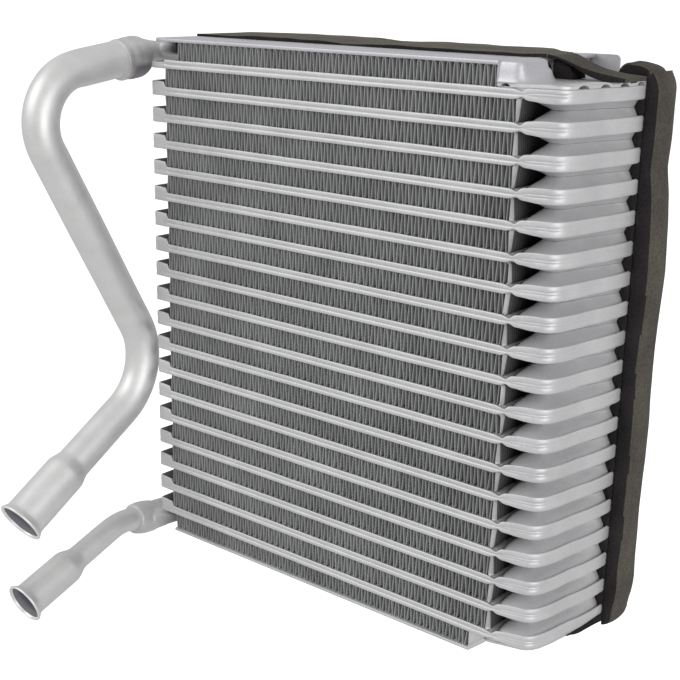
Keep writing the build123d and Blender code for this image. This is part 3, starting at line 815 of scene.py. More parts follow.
# ---------------------------------------------------------- top plate and dome
def top_plate():
    """One shell: a flat sheet whose right front end is pressed into a dome."""
    st = []      # (px, py, nx, ny outward, kind weight)
    # front edge, left to right
    for x in np.r_[-102.2, np.arange(-98, 70, 6.0), 70.0, 72.4, 72.75]:
        st.append((x, -34.2, 0.0, -1.0, 0.0))
    for x in np.r_[72.8, 74.0, 75.5, 76.6, 77.4]:
        st.append((x, -34.2, 0.0, -1.0, 1.0))
    foot = catmull([(77.4, -34.2), (79.8, -34.05), (82.0, -33.1), (83.7, -31.1),
                    (84.8, -27.6), (85.2, -22.0), (84.6, -14.6), (81.6, -9.4), (77.4, -6.4),
                    (74.05, -5.2)], 1.1)[1:]
    fn = -normals_2d(foot, closed=False)
    fn /= np.linalg.norm(fn, axis=1)[:, None]
    for (x, y), (nx, ny) in zip(foot, fn):
        st.append((x, y, nx, ny, 1.0))
    for y in np.r_[-5.0, -2.0, np.arange(2, 32, 6.0), 33.4]:
        st.append((74.0, y, 1.0, 0.0, 0.0))
    st.append((73.4, 34.15, 0.7, 0.7, 0.0))
    for x in np.arange(70, -98, -8.0):
        st.append((x, 34.2, 0.0, 1.0, 0.0))
    st.append((-102.2, 34.2, 0.0, 1.0, 0.0))
    st.append((-102.75, 33.7, -1.0, 0.0, 0.0))
    for y in np.arange(26, -30, -8.0):
        st.append((-102.8, y, -1.0, 0.0, 0.0))
    st.append((-102.75, -33.7, -1.0, 0.0, 0.0))
    st = np.array(st)
    m = len(st)
    rings = []
    for x, y, nx, ny, w in st:
        # slope of the dome's wall: steep at the front, gentle at the side
        side = smooth01((x - 76.0) / 8.0) * smooth01((y + 34.6) / 6.5) if w else 0
        side = float(max(side, smooth01((y + 31.0) / 3.0))) if w else 0.0
        if w:
            run = 1.0 + 2.0 * side      # foot to shoulder, in plan
            rr = 1.2 + 1.3 * side       # shoulder radius
            prof = [(run + rr + 0.8, 230.0), (run + rr, 230.0),
                    (run + 0.55 * rr, 229.85), (run + 0.22 * rr, 229.45),
                    (run, 229.9 - rr), (0.55 * run + 0.1, 226.2),
                    (0.30 * run + 0.1, 224.2), (0.12 * run, 223.2),
                    (-0.15, 222.75), (-0.45, 222.52), (0.6, 222.50),
                    (1.0 + 0.2 * run, 223.6), (0.9 + run, 227.0),
                    (run + rr + 0.8, 228.4)]
        else:
            prof = [(1.4, 230.0), (0.7, 230.0), (0.42, 229.97), (0.2, 229.88),
                    (0.06, 229.7), (0.0, 229.45), (0.0, 229.2), (0.0, 229.0),
                    (0.05, 228.75), (0.14, 228.55), (0.3, 228.44),
                    (0.5, 228.4), (0.9, 228.4), (1.4, 228.4)]
        rings.append([(x - nx * d, y - ny * d, z) for d, z in prof])
    rings = np.array(rings)          # stations x profile
    n = rings.shape[1]
    faces = []
    for i in range(m):
        i2 = (i + 1) % m
        for j in range(n - 1):
            faces.append((i * n + j, i2 * n + j, i2 * n + j + 1, i * n + j + 1))
    faces.append(tuple(i * n for i in range(m))[::-1])
    faces.append(tuple(i * n + n - 1 for i in range(m)))
    sh = Shell()
    sh.add(rings.reshape(-1, 3), faces)
    return sh


tp = make("top_plate", top_plate(), ["top_side_plate"],
          PLATE, sharp=72)

# ---------------------------------------------------------------------- pipes
PX = -116.7


def fillet_path(pts, radii, step):
    """Centre line in the plane x = PX: straight runs and arcs."""
    p = [np.array(q, float) for q in pts]
    out = [p[0]]
    for i in range(1, len(p) - 1):
        u = (p[i - 1] - p[i]) / np.linalg.norm(p[i - 1] - p[i])
        v = (p[i + 1] - p[i]) / np.linalg.norm(p[i + 1] - p[i])
        ang = math.acos(float(np.clip(u @ v, -1, 1)))
        t = radii[i - 1] / math.tan(ang / 2)
        b = (u + v) / np.linalg.norm(u + v)
        c = p[i] + b * radii[i - 1] / math.sin(ang / 2)
        a, e = p[i] + u * t, p[i] + v * t
        a0 = math.atan2(*(a - c)[::-1])
        a1 = math.atan2(*(e - c)[::-1])
        d = (a1 - a0 + math.pi) % (2 * math.pi) - math.pi
        n = max(4, int(abs(d) * radii[i - 1] / step))
        for j in range(n + 1):
            g = a0 + d * j / n
            out.append(c + radii[i - 1] * np.array([math.cos(g), math.sin(g)]))
    out.append(p[-1])
    q = np.array(out)
    # even spacing
    s = np.r_[0, np.cumsum(np.linalg.norm(np.diff(q, axis=0), axis=1))]
    keep = np.r_[True, np.diff(s) > 1e-6]
    q, s = q[keep], s[keep]
    k = max(2, int(s[-1] / step))
    t = np.linspace(0, s[-1], k + 1)
    return np.c_[np.interp(t, s, q[:, 0]), np.interp(t, s, q[:, 1])]


def pipe(name, node, path, radii, r_out, wall, rim, sleeve, rim_r, neck, rng):
    line = fillet_path(path, radii, 1.3)
    p0 = np.array(path[-1], float)
    p1 = np.array(rim, float)
    ax = (p1 - p0) / np.linalg.norm(p1 - p0)
    length = float(np.linalg.norm(p1 - p0))
    # outer radius along the mouth
    outer = []
    for s in np.arange(0, 1.01, 0.1):
        e = s * (neck + 2.6)
        outer.append((e, r_out + (sleeve - r_out) * float(smooth01(s))))
    outer += [(e, sleeve) for e in np.arange(neck + 4.5, length - 4.2, 2.0)]
    f0 = length - 4.0
    for s in np.arange(0, 1.01, 0.2):
        outer.append((f0 + 2.9 * s, sleeve + (rim_r - 0.12 - sleeve) * s ** 1.7))
    outer += [(length - 0.85, rim_r), (length - 0.45, rim_r - 0.02),
              (length - 0.12, rim_r - 0.22), (length, rim_r - 0.55)]
    r_in = sleeve - wall
    inner = [(length - 0.06, rim_r - 0.85), (length - 0.35, rim_r - 1.12),
             (length - 1.2, rim_r - 1.32), (length - 2.4, r_in + 0.25),
             (length - 3.8, r_in)]
    inner += [(e, r_in) for e in np.arange(length - 8, neck + 3.0, -4.0)]
    for s in np.arange(0, 1.01, 0.2):
        e = (neck + 2.6) * (1 - s)
        inner.append((e, r_in + (r_out - wall - r_in) * float(smooth01(s))))
    tan = np.gradient(line, axis=0)
    tan /= np.linalg.norm(tan, axis=1)[:, None]
    # bend amount, for the slight flattening of the elbows
    ang = np.unwrap(np.arctan2(tan[:, 1], tan[:, 0]))
    curv = np.abs(np.gradient(ang))
    curv = np.convolve(curv, np.ones(5) / 5, mode="same")
    curv = curv / max(1e-9, curv.max())
    N = 56
    th = np.linspace(0, 2 * math.pi, N, endpoint=False)
    rings = []

    def ring(c, t, r, flat=0.0):
        nrm = np.array([-t[1], t[0]])
        rad_n = r * (1 - flat)
        rad_x = r * (1 + flat * 0.6)
        return np.c_[PX + rad_x * np.cos(th),
                     c[0] + nrm[0] * rad_n * np.sin(th),
                     c[1] + nrm[1] * rad_n * np.sin(th)]

    wob = noise_line(rng, np.arange(len(line)) * 1.3, 14.0, 0.05)
    for i in range(len(line)):
        rings.append(ring(line[i], tan[i], r_out + wob[i] * 0.6,
                          0.035 * curv[i]))
    for e, r in outer[1:]:
        rings.append(ring(p0 + ax * e, ax, r))
    for e, r in inner:
        rings.append(ring(p0 + ax * e, ax, r))
    back = line[::-1]
    tb = -tan[::-1]
    for i in range(3, min(36, len(back) - 4), 3):
        rings.append(ring(back[i], -tb[i], r_out - wall))
    sh = Shell()
    sh.loft(rings)
    ob = make(name, sh, [node], PIPE, sharp=60)
    ob.data.materials.append(BORE_SHADE)
    ob.data.materials.append(LIP)
    first = len(line) + len(outer) - 1 + 2
    # painted shade: rings inside the rim take the dark bore metal
    for p in ob.data.polygons:
        if len(p.vertices) == 4:
            i = p.index // N
            p.material_index = 1 if i >= first else (2 if i >= first - 5 else 0)
    return ob


pipe("pipe_suction", "suction_pipe",
     [(-39.0, 221.12), (-99.1, 212.5), (-24.1, 74.7), (-76.4, 41.75)],
     [22.8, 30.0], 8.0, 1.25, (-107.8, 22.0), 9.65, 11.0, 4.5,
     np.random.default_rng(5))
pipe("pipe_liquid", "liquid_pipe", [(-37.0, 1.52), (-51.2, 3.8), (-76.2, -5.51)],
     [25.0], 5.6, 1.1, (-108.1, -17.36), 7.95, 9.75, 5.5,
     np.random.default_rng(6)).data.materials[0] = PIPE_L


# -------------------------------------------------------------------- collars
# painted shade: the second colour darkens each joint's rear underside, the last colour
# where it runs into the core
COLLAR_S = collar_material("suction_joint", (0.63, 0.63, 0.63),
                           (0.27, 0.25, 0.28), -0.0425, -0.0395, 0.2195,
                           0.2172, -0.1103, -0.1028, (0.06, 0.06, 0.06))
COLLAR_L = collar_material("liquid_joint", (0.58, 0.58, 0.575),
                           (0.30, 0.30, 0.29), -0.0340, -0.0290, 0.0045,
                           0.0015, -0.1090, -0.0990, (0.17, 0.17, 0.17))


def blob(shell, stations, power=2.0, n=40):
    """Loft through (centre, u half-axis vector, v half-axis vector)."""
    th = np.linspace(0, 2 * math.pi, n, endpoint=False)
    c, s = np.cos(th), np.sin(th)
    a = np.sign(c) * np.abs(c) ** (2.0 / power)
    b = np.sign(s) * np.abs(s) ** (2.0 / power)
    rings = [np.asarray(o, float) + np.outer(a, u) + np.outer(b, v)
             for o, u, v in stations]
    shell.loft(np.array(rings))


def joint(name, node, shell, material):
    ob = make(name, shell, [node], material, sharp=None)
    r = ob.modifiers.new("fuse", "REMESH")
    r.mode = "VOXEL"
    r.voxel_size = 0.0006
    r.use_smooth_shade = True
    m = ob.modifiers.new("soften", "SMOOTH")
    m.factor = 0.5
    m.iterations = 7
    return ob


def socket_stations(mouth, ax, rows, r_end, s_end):
    m = np.array([PX, *mouth], float)
    d = np.array([0.0, *ax]) / math.hypot(*ax)
    up = np.array([0.0, -d[2], d[1]])
    side = np.array([1.0, 0.0, 0.0])
    out = [(m + d * s, side * r, up * r) for s, r in rows]
    for a in range(12, 85, 12):
        r = r_end * math.cos(math.radians(a))
        s = s_end + r_end * math.sin(math.radians(a))
        out.append((m + d * s, side * r, up * r))
    return out


def suction_joint():
    sh = Shell()
    blob(sh, socket_stations((-43.5, 219.9), (0.993, 0.12),
                             [(-0.9, 8.3), (-0.7, 8.75), (-0.2, 9.0),
                              (0.8, 9.05), (2.6, 8.8), (4.2, 9.1), (6.0, 9.3),
                              (7.4, 9.1), (8.6, 9.3)], 9.3, 8.6))
    rows = [(-37.0, 223.0, 6.5, 5.0), (-36.0, 223.2, 7.5, 5.6),
            (-31.0, 223.6, 7.2, 5.5), (-28.0, 223.8, 6.8, 4.7),
            (-25.0, 223.6, 6.4, 4.4), (-19.0, 222.9, 6.2, 4.5),
            (-11.0, 222.8, 6.0, 4.2), (-4.0, 223.0, 5.6, 3.8),
            (-1.5, 223.6, 4.2, 2.4)]
    blob(sh, [((PX, y, z), (a, 0, 0), (0, 0, b)) for y, z, a, b in rows], 2.4)
    rows = [(-119.0, 223.9, 10.5, 3.2), (-117.5, 224.0, 11.4, 3.8),
            (-112.0, 224.6, 12.0, 3.8), (-106.9, 225.4, 12.0, 3.5),
            (-100.6, 225.4, 11.9, 3.2)]
    blob(sh, [((x, -12.2, z), (0, a, 0), (0, 0, b)) for x, z, a, b in rows],
         3.4)
    return joint("joint_suction", "suction_collar", sh, COLLAR_S)


def liquid_joint():
    sh = Shell()
    blob(sh, socket_stations((-42.4, 2.35), (0.987, -0.159),
                             [(-0.6, 6.0), (-0.4, 6.9), (0.2, 7.3),
                              (1.4, 7.45), (3.0, 7.75), (5.2, 7.9),
                              (7.4, 7.85), (9.2, 7.75)], 7.75, 9.2))
    rows = [(-120.5, -33.2, 0.6, 5.0, 4.6), (-118.5, -33.0, 0.6, 6.4, 6.0),
            (-116.0, -32.0, 0.6, 7.2, 6.7), (-112.0, -29.5, 0.9, 8.2, 5.9),
            (-107.0, -25.5, 2.4, 9.6, 4.4), (-102.5, -21.8, 3.8, 11.0, 3.7),
            (-98.3, -18.8, 4.8, 12.0, 3.1)]
    blob(sh, [((x, y, z), (0, a, 0), (0, 0, b)) for x, y, z, a, b in rows],
         2.6)
    rows = [(-34.0, 1.2, 5.8, 5.8), (-31.0, 1.8, 5.6, 5.6),
            (-27.0, 2.5, 5.0, 5.1), (-20.0, 2.5, 4.4, 4.3),
            (-10.0, 2.4, 3.9, 3.4), (-8.0, 2.4, 2.6, 2.2)]
    blob(sh, [((PX, y, z), (a, 0, 0), (0, 0, b)) for y, z, a, b in rows])
    return joint("joint_liquid", "liquid_collar", sh, COLLAR_L)


suction_joint()
liquid_joint()


# ------------------------------------------------------------- foam seal strips
def ripple(rng, a, b, na, nb, sa, sb, amp):
    """Smooth seeded noise on a grid of stations a by b."""
    ga = np.linspace(0, 1, max(2, int((a.max() - a.min()) / sa) + 2))
    gb = np.linspace(0, 1, max(2, int((b.max() - b.min()) / sb) + 2))
    k = rng.normal(0, 1, (len(ga), len(gb)))
    ta = (a - a.min()) / max(1e-9, a.max() - a.min()) * (len(ga) - 1)
    tb = (b - b.min()) / max(1e-9, b.max() - b.min()) * (len(gb) - 1)
    i = np.clip(ta.astype(int), 0, len(ga) - 2)
    j = np.clip(tb.astype(int), 0, len(gb) - 2)
    fa, fb = smooth01(ta - i), smooth01(tb - j)
    return amp * (k[i, j] * (1 - fa) * (1 - fb) + k[i + 1, j] * fa * (1 - fb)
                  + k[i, j + 1] * (1 - fa) * fb + k[i + 1, j + 1] * fa * fb)


def soft_ring(u0, u1, v0, v1, r, nu, nv):
    """Rounded rectangle in (u, v), counter-clockwise, starting low left."""
    arc = [(math.cos(a), math.sin(a)) for a in
           np.radians([180, 202.5, 225, 247.5, 270])]
    out = []

    def corner(cu, cv, turn):
        ct, st = math.cos(turn), math.sin(turn)
        for a, b in arc:
            out.append((cu + r * (a * ct - b * st), cv + r * (a * st + b * ct)))

    corner(u0 + r, v0 + r, 0.0)
    for t in np.linspace(0, 1, nu + 2)[1:-1]:
        out.append((u0 + r + (u1 - u0 - 2 * r) * t, v0))
    corner(u1 - r, v0 + r, math.pi / 2)
    for t in np.linspace(0, 1, nv + 2)[1:-1]:
        out.append((u1, v0 + r + (v1 - v0 - 2 * r) * t))
    corner(u1 - r, v1 - r, math.pi)
    for t in np.linspace(0, 1, nu + 2)[1:-1]:
        out.append((u1 - r - (u1 - u0 - 2 * r) * t, v1))
    corner(u0 + r, v1 - r, 1.5 * math.pi)
    for t in np.linspace(0, 1, nv + 2)[1:-1]:
        out.append((u0, v1 - r - (v1 - v0 - 2 * r) * t))
    return np.array(out)


def shrink_ends(rings, steps=((0.0, 0.55), (0.25, 0.86), (0.6, 1.0))):
    """Round both ends of a row of rings: the first and last rings repeat,
    drawn in towards their middle."""
    def end(r, nxt):
        c = r.mean(0)
        d = (r.mean(0) - nxt.mean(0))
        d = d / np.linalg.norm(d)
        out = []
        for t, sc in steps:
            q = c + (r - c) * np.where(np.abs(r - c) > 0, 1, 1)
            m = np.linalg.norm(r - c, axis=1)[:, None]
            q = c + (r - c) * (1 - (1 - sc) * 0.6 / np.maximum(m, 0.6))
            out.append(q + d * (0.6 - t))
        return out
    a = end(rings[0], rings[1])
    b = end(rings[-1], rings[-2])
    return np.array(a + list(rings) + b[::-1])


def foam_piece(name, node, shell, pick_shade):
    ob = make(name, shell, [node], FOAM, sharp=None)
    me = ob.data
    me.materials.append(FOAM_SHADOW)
    me.materials.append(FOAM_SHADED)
    for p in me.polygons:
        # painted shade: each face takes the foam, its darker copy or the black copy
        p.material_index = pick_shade(p.center * 1000.0, p.normal)
    return ob


def foam_top():
    rng = np.random.default_rng(31)
    sh = Shell()
    # the strip on the plate
    xs = np.r_[np.arange(-101.6, 74.0, 2.2), 74.6]
    front = -9.9 + noise_line(rng, xs, 16.0, 0.22)
    front = front + 4.4 * smooth01((xs - 66.5) / 7.5)
    rear = np.interp(xs, [-102.4, -98.0, -88.0, 40.0, 52.0, 60.0, 66.0, 70.6,
                          75.0],
                     [25.6, 28.6, 30.2, 31.8, 31.0, 27.5, 21.5, 17.0, 14.0])
    rear = rear + noise_line(rng, xs, 20.0, 0.25)
    top = np.interp(xs, [-102, -78, -70, -46, -30, -18, -8, 6, 60, 66, 75],
                    [231.1, 231.2, 231.45, 231.5, 231.35, 230.85, 230.95,
                     231.35, 231.3, 231.1, 231.35])
    top = top + noise_line(rng, xs, 9.0, 0.07)
    rings = []
    for x, a, b, t in zip(xs, front, rear, top):
        ring = soft_ring(a, b, 230.0, t, 0.42, 9, 1)
        rings.append(np.c_[np.full(len(ring), x), ring])
    rings = np.array(rings)
    up = rings[:, :, 2] > 230.9
    ax = np.broadcast_to(xs[:, None], rings.shape[:2])
    bump = ripple(rng, ax, rings[:, :, 1], 0, 0, 11.0, 9.0, 0.09)
    rings[:, :, 2] += np.where(up, bump, 0.0)
    sh.loft(shrink_ends(rings))
    # the tongue that droops over the tank
    low = catmull([(70.0, 230.06), (75.0, 230.05), (78.2, 229.75),
                   (82.5, 228.45), (86.4, 226.85), (90.0, 225.15),
                   (93.4, 223.85), (96.5, 223.05), (100.0, 222.85),
                   (105.2, 222.8)], 1.1)
    high = catmull([(70.0, 231.2), (75.0, 231.15), (79.0, 230.5),
                    (83.2, 229.25), (86.9, 227.95), (90.8, 226.8),
                    (94.9, 225.85), (98.6, 225.2), (101.6, 224.8),
                    (105.4, 224.3)], 1.1)
    n = 46
    def even(c):
        d = np.r_[0, np.cumsum(np.linalg.norm(np.diff(c, axis=0), axis=1))]
        t = np.linspace(0, d[-1], n)
        return np.c_[np.interp(t, d, c[:, 0]), np.interp(t, d, c[:, 1])]
    low, high = even(low), even(high)
    rings = []
    for i in range(n):
        t = i / (n - 1)
        f0 = np.interp(low[i, 0], [70, 78, 84, 92, 105], [-4.6, -4.9, -4.6,
                                                         -4.2, -3.4])
        y1 = np.interp(low[i, 0], [70, 78, 84, 92, 100, 105],
                       [13.8, 12.5, 9.6, 9.0, 11.0, 14.5])
        q = soft_ring(f0, y1, 0.0, 1.0, 0.26, 7, 1)
        yy = q[:, 0]
        w = q[:, 1]
        # corner radius is real along y, thinned along the thickness
        p = low[i] * (1 - w[:, None]) + high[i] * w[:, None]
        sag = 0.35 * np.sin(math.pi * np.clip((yy - f0) / (y1 - f0), 0, 1))
        rings.append(np.c_[p[:, 0], yy, p[:, 1] + sag * w * (1 - abs(2 * t - 1))])
    rings = np.array(rings)
    sh.loft(shrink_ends(rings))
    # a filler block tucked down behind the dome, in the black foam: painted shadow under
    # the tongue
    r2 = []
    for y in (-2.6, -2.3, 0.0, 3.0, 6.6, 7.0):
        e = 0.25 if y in (-2.6, 7.0) else 0.0
        r2.append([(76.2 + e, y, 222.75 + e), (84.9 - e, y, 222.75 + e),
                   (84.4 - e, y, 224.8), (83.2 - e, y, 227.2),
                   (81.0, y, 228.5 - e), (76.2 + e, y, 229.4 - e)])
    sh.loft(np.array(r2, float))
    # painted shade: front faces, undersides, the filler and the front of the strip's right
    # end take the black foam, the tongue the darker copy
    return foam_piece("foam_strip_top", "foam_top", sh,
                      lambda c, n: (1 if n.y < -0.4 or n.z < -0.4
                                    or (c.x > 72.0 and n.x > 0.3
                                        and c.y < 0 and c.z > 229.9)
                                    or c.z < 228.0 and c.x < 86.0
                                    else (2 if c.x > 77.0 else 0)))


def foam_right():
    rng = np.random.default_rng(32)
    sh = Shell()
    plan = catmull([(105.7, 30.0), (105.6, 22.0), (105.7, 14.9), (106.5, 13.8),
                    (109.2, 14.2), (110.9, 15.6), (111.7, 19.2), (112.0, 24.0),
                    (111.6, 28.8), (110.7, 31.9), (109.2, 33.4),
                    (107.2, 33.9), (105.8, 32.6), (105.7, 30.0)], 1.0)[:-1]
    dz = [4.0, 6.0, 8.5, 11.0, 14.0, 20.0, 30.0, 50.0, 70.0, 90.0, 110.0,
          130.0, 150.0, 170.0, 180.0, 190.0, 200.0, 214.0, 219.0, 222.0, 224.0,
          225.6]
    dx = [-3.4, -2.8, -2.6, -2.2, -1.5, -0.8, -1.1, -1.0, -0.7, -0.5, -1.1,
          -0.4, 0.5, -0.1, -0.7, -1.9, -1.6, -1.5, -1.4, -2.0, -3.2, -4.4]
    zs = np.r_[4.0, 4.9, 6.2, np.arange(8.0, 218.0, 2.6), 219.5, 221.4, 223.0,
               224.2, 225.1, 225.6]
    rings = []
    for z in zs:
        d = float(np.interp(z, dz, dx))
        w = np.clip((plan[:, 0] - 105.7) / 5.0, 0, 1)
        x = plan[:, 0] + d * w
        rings.append(np.c_[x, plan[:, 1], np.full(len(plan), z)])
    rings = np.array(rings)
    az = rings[:, :, 2]
    out = rings[:, :, 0] > 108.0
    bump = ripple(rng, az, rings[:, :, 1], 0, 0, 12.0, 7.0, 0.16)
    rings[:, :, 0] += np.where(out, bump, 0.0)
    rings[:, :, 1] += np.where(rings[:, :, 1] < 16.5,
                               noise_line(rng, zs, 14.0, 0.16)[:, None], 0.0)
    sh.loft(rings)
    # where it is pressed in between the flanges
    # painted shade: these pressed-in pieces take the black foam
    for k in range(1, 19):
        z1, z0 = tube_z(k) - 2.5, tube_z(k + 1) + 2.5
        r2 = []
        for x in (99.5, 101.0, 103.5, 105.9):
            ring = soft_ring(13.2, 31.6, z0, z1, 0.5, 4, 2)
            r2.append(np.c_[np.full(len(ring), x), ring])
        sh.loft(np.array(r2))
    # painted shade: inner and front faces take the black foam, outer faces the darker copy
    return foam_piece("foam_strip_right", "foam_right", sh,
                      lambda c, n: (1 if (c.x < 106.0 or n.y < -0.25
                                          or n.x < -0.15) else 2))


def foam_fold():
    rng = np.random.default_rng(33)
    sh = Shell()
    keys = [(16.9, 0.80), (17.4, 0.92), (18.6, 0.99), (21.0, 1.0), (24.5, 1.0),
            (28.0, 0.99), (30.4, 0.95), (31.5, 0.84), (31.9, 0.70)]
    prof = catmull([(92.2, 223.2), (98.0, 223.1), (103.6, 223.1),
                    (105.4, 223.6), (106.2, 225.0), (105.2, 226.5),
                    (103.2, 227.5), (100.4, 228.2), (97.2, 228.6),
                    (94.6, 228.3), (92.6, 227.2), (91.4, 225.4),
                    (91.4, 224.0), (92.2, 223.2)], 0.8)[:-1]
    c = np.array([98.6, 225.4])
    rings = []
    for y, sc in keys:
        q = c + (prof - c) * sc
        q[:, 0] -= (y - 24.0) * 0.10
        rings.append(np.c_[q[:, 0], np.full(len(q), y), q[:, 1]])
    rings = np.array(rings)
    bump = ripple(rng, rings[:, :, 0], rings[:, :, 1], 0, 0, 4.0, 5.0, 0.16)
    rings[:, :, 2] += np.where(rings[:, :, 2] > 225.5, bump, 0.0)
    sh.loft(rings)
    # painted shade: undersides and front faces take the black foam, the rest the darker
    # copy
    return foam_piece("foam_strip_fold", "foam_fold", sh,
                      lambda c, n: 1 if n.z < -0.3 or n.y < -0.85 else 2)


def foam_bottom():
    rng = np.random.default_rng(34)
    sh = Shell()
    xs = np.r_[np.arange(-91.6, 72.0, 3.2), 73.2]
    rings = []
    for x in xs:
        ring = soft_ring(-8.7, 31.0, -1.5, -0.02, 0.4, 8, 1)
        rings.append(np.c_[np.full(len(ring), x), ring])
    rings = np.array(rings)
    bump = ripple(rng, rings[:, :, 0], rings[:, :, 1], 0, 0, 12.0, 9.0, 0.05)
    rings[:, :, 2] += np.where(rings[:, :, 2] < -1.0, np.abs(bump), 0.0)
    sh.loft(shrink_ends(rings))
    # up the bent plate
    low = [(72.4, -1.45), (74.0, -1.0), (77.2, 1.6), (80.2, 4.15), (82.4, 5.2)]
    high = [(72.4, -0.06), (73.0, 0.0), (76.4, 2.85), (80.2, 6.0), (82.4, 7.0)]
    rings = []
    for a, b in zip(low, high):
        q = soft_ring(-8.6, 30.9, 0.0, 1.0, 0.24, 8, 1)
        p = np.array(a) * (1 - q[:, 1:]) + np.array(b) * q[:, 1:]
        rings.append(np.c_[p[:, 0], q[:, 0], p[:, 1]])
    sh.loft(np.array(rings))
    # wedge under the tank, with its edge turned up over the last flange
    ty = [-10.0, -3.0, 3.0, 9.0, 15.0, 22.5, 28.6, 31.0]
    tx = [102.5, 104.0, 104.9, 105.4, 105.6, 105.4, 102.5, 98.5]
    ys = [-9.5, -7.0, -5.0, -2.0, 1.0, 5.0, 9.0, 13.0, 16.0]
    zl = [7.25, 6.9, 6.4, 6.15, 6.3, 6.35, 6.2, 5.8, 5.0]
    zu = [7.45, 7.75, 8.0, 8.3, 8.6, 8.95, 9.1, 9.2, 9.2]
    rings = []
    for y, a, b in zip(ys, zl, zu):
        x1 = np.interp(y, ty, tx) + 0.5
        q = soft_ring(x1 - 0.8, x1, a, b, min(0.24, 0.45 * (b - a)), 1, 3)
        rings.append(np.c_[q[:, 0], np.full(len(q), y), q[:, 1]])
    sh.loft(np.array(rings))
    ys = [-9.2, -6.0, -1.0, 4.0, 9.4, 13.6, 18.0, 24.0, 30.6]
    zb = [6.9, 6.3, 5.8, 5.6, 5.4, 4.9, 3.9, 2.8, 1.9]
    rings = []
    for y, z in zip(ys, zb):
        x1 = np.interp(y, ty, tx) - 0.1
        h = 7.08 - z
        q = soft_ring(81.0, x1, z, 7.08, min(0.5, 0.45 * h), 5, 1)
        rings.append(np.c_[q[:, 0], np.full(len(q), y), q[:, 1]])
    sh.loft(np.array(rings))
    # painted shade: front faces and the wedge under the tank take the black foam, the rest
    # the darker copy
    return foam_piece("foam_strip_bottom", "foam_bottom", sh,
                      lambda c, n: 1 if n.y < -0.3 or c.x > 80 else 2)


foam_top()
foam_right()
foam_fold()
foam_bottom()


# ------------------------------------------------ tank cover and bottom plate
def cover_top():
    """Pressed sheet with five half-round beads that open at the tank's edge
    and one at the front edge."""
    ey = [-34.2, -33.5, -32.5, -31.9, -31.3, -30.7, -29.7, -28.0, -25.0, -19.0,
          -10.0, -3.0, 3.0, 9.0, 15.0, 22.5, 28.6, 32.2, 33.4, 33.9, 34.2]
    ex = [82.2, 84.0, 87.2, 89.6, 92.0, 94.6, 96.6, 98.3, 99.7, 101.2, 102.5,
          104.0, 104.9, 105.4, 105.6, 105.4, 102.5, 96.5, 90.0, 84.0, 82.0]
    ys = np.r_[-34.2, -34.05, -33.8, -33.5, -33.2, -32.9, -32.5, -32.2, -31.9,
               -31.6, -31.3, -31.0, -30.7, -30.2, -29.7, -29.0,
               np.arange(-28.2, 28.4, 0.42), 29.4, 30.6, 31.4, 32.2, 32.8,
               33.4, 33.9, 34.2]
    base_x = np.r_[72.8, 73.6, 74.2, 74.45, 74.7, 75.1, 75.6, 76.3, 77.0, 77.5,
                   77.9, 78.15, 78.4, 79.4, 80.6, 82.0]
    rows = []
    for y in ys:
        xr = float(np.interp(y, ey, ex))
        t = np.r_[np.linspace(0, 1, 15)[1:] ** 0.8]
        rows.append(np.r_[base_x, 82.0 + (xr - 82.0) * t])
    X = np.array(rows)
    Y = np.repeat(ys[:, None], X.shape[1], 1)
    ZB = np.full(X.shape, 221.3)
    ZT = np.full(X.shape, 222.5)
    for b, gain in ((-22.0, 0.8), (-10.4, 0.85), (0.0, 1.0), (10.4, 1.1),
                    (22.0, 1.1)):
        d = (Y - b)
        w = smooth01((X - 93.0) / 5.0)
        ZB = np.maximum(ZB, 221.3 + w * 1.25 * np.sqrt(np.clip(
            1 - (d / 2.5) ** 2, 0, 1)))
        ZT = np.maximum(ZT, 222.5 + w * 0.75 * gain * np.sqrt(np.clip(
            1 - (d / 3.3) ** 2, 0, 1)))
    d = X - 76.3
    ZB = np.maximum(ZB, 221.3 + (Y < -29.5) * 1.12 * np.sqrt(np.clip(
        1 - (d / 1.9) ** 2, 0, 1)))
    ZT = np.maximum(ZT, ZB + 0.12)
    # rolled front and side edge
    m, n = X.shape
    top = np.stack([X, Y, ZT], 2)
    bot = np.stack([X, Y, ZB], 2)
    top[:, -1, 2] -= 0.22
    top[0, :, 2] -= 0.15
    v = np.vstack([top.reshape(-1, 3), bot.reshape(-1, 3)])
    f = []
    o = m * n
    for i in range(m - 1):
        for j in range(n - 1):
            a = i * n + j
            f.append((a, a + 1, a + n + 1, a + n))
            f.append((o + a, o + a + n, o + a + n + 1, o + a + 1))
    for j in range(n - 1):
        f.append((j, o + j, o + j + 1, j + 1))
        a = (m - 1) * n + j
        f.append((a, a + 1, o + a + 1, o + a))
    for i in range(m - 1):
        a = i * n
        f.append((a, a + n, o + a + n, o + a))
        a = i * n + n - 1
        f.append((a, o + a, o + a + n, a + n))
    sh = Shell()
    sh.add(v, f)
    return sh


make("tank_cover_top", cover_top(), ["top_tank_cover"],
     TUBE, sharp=40)


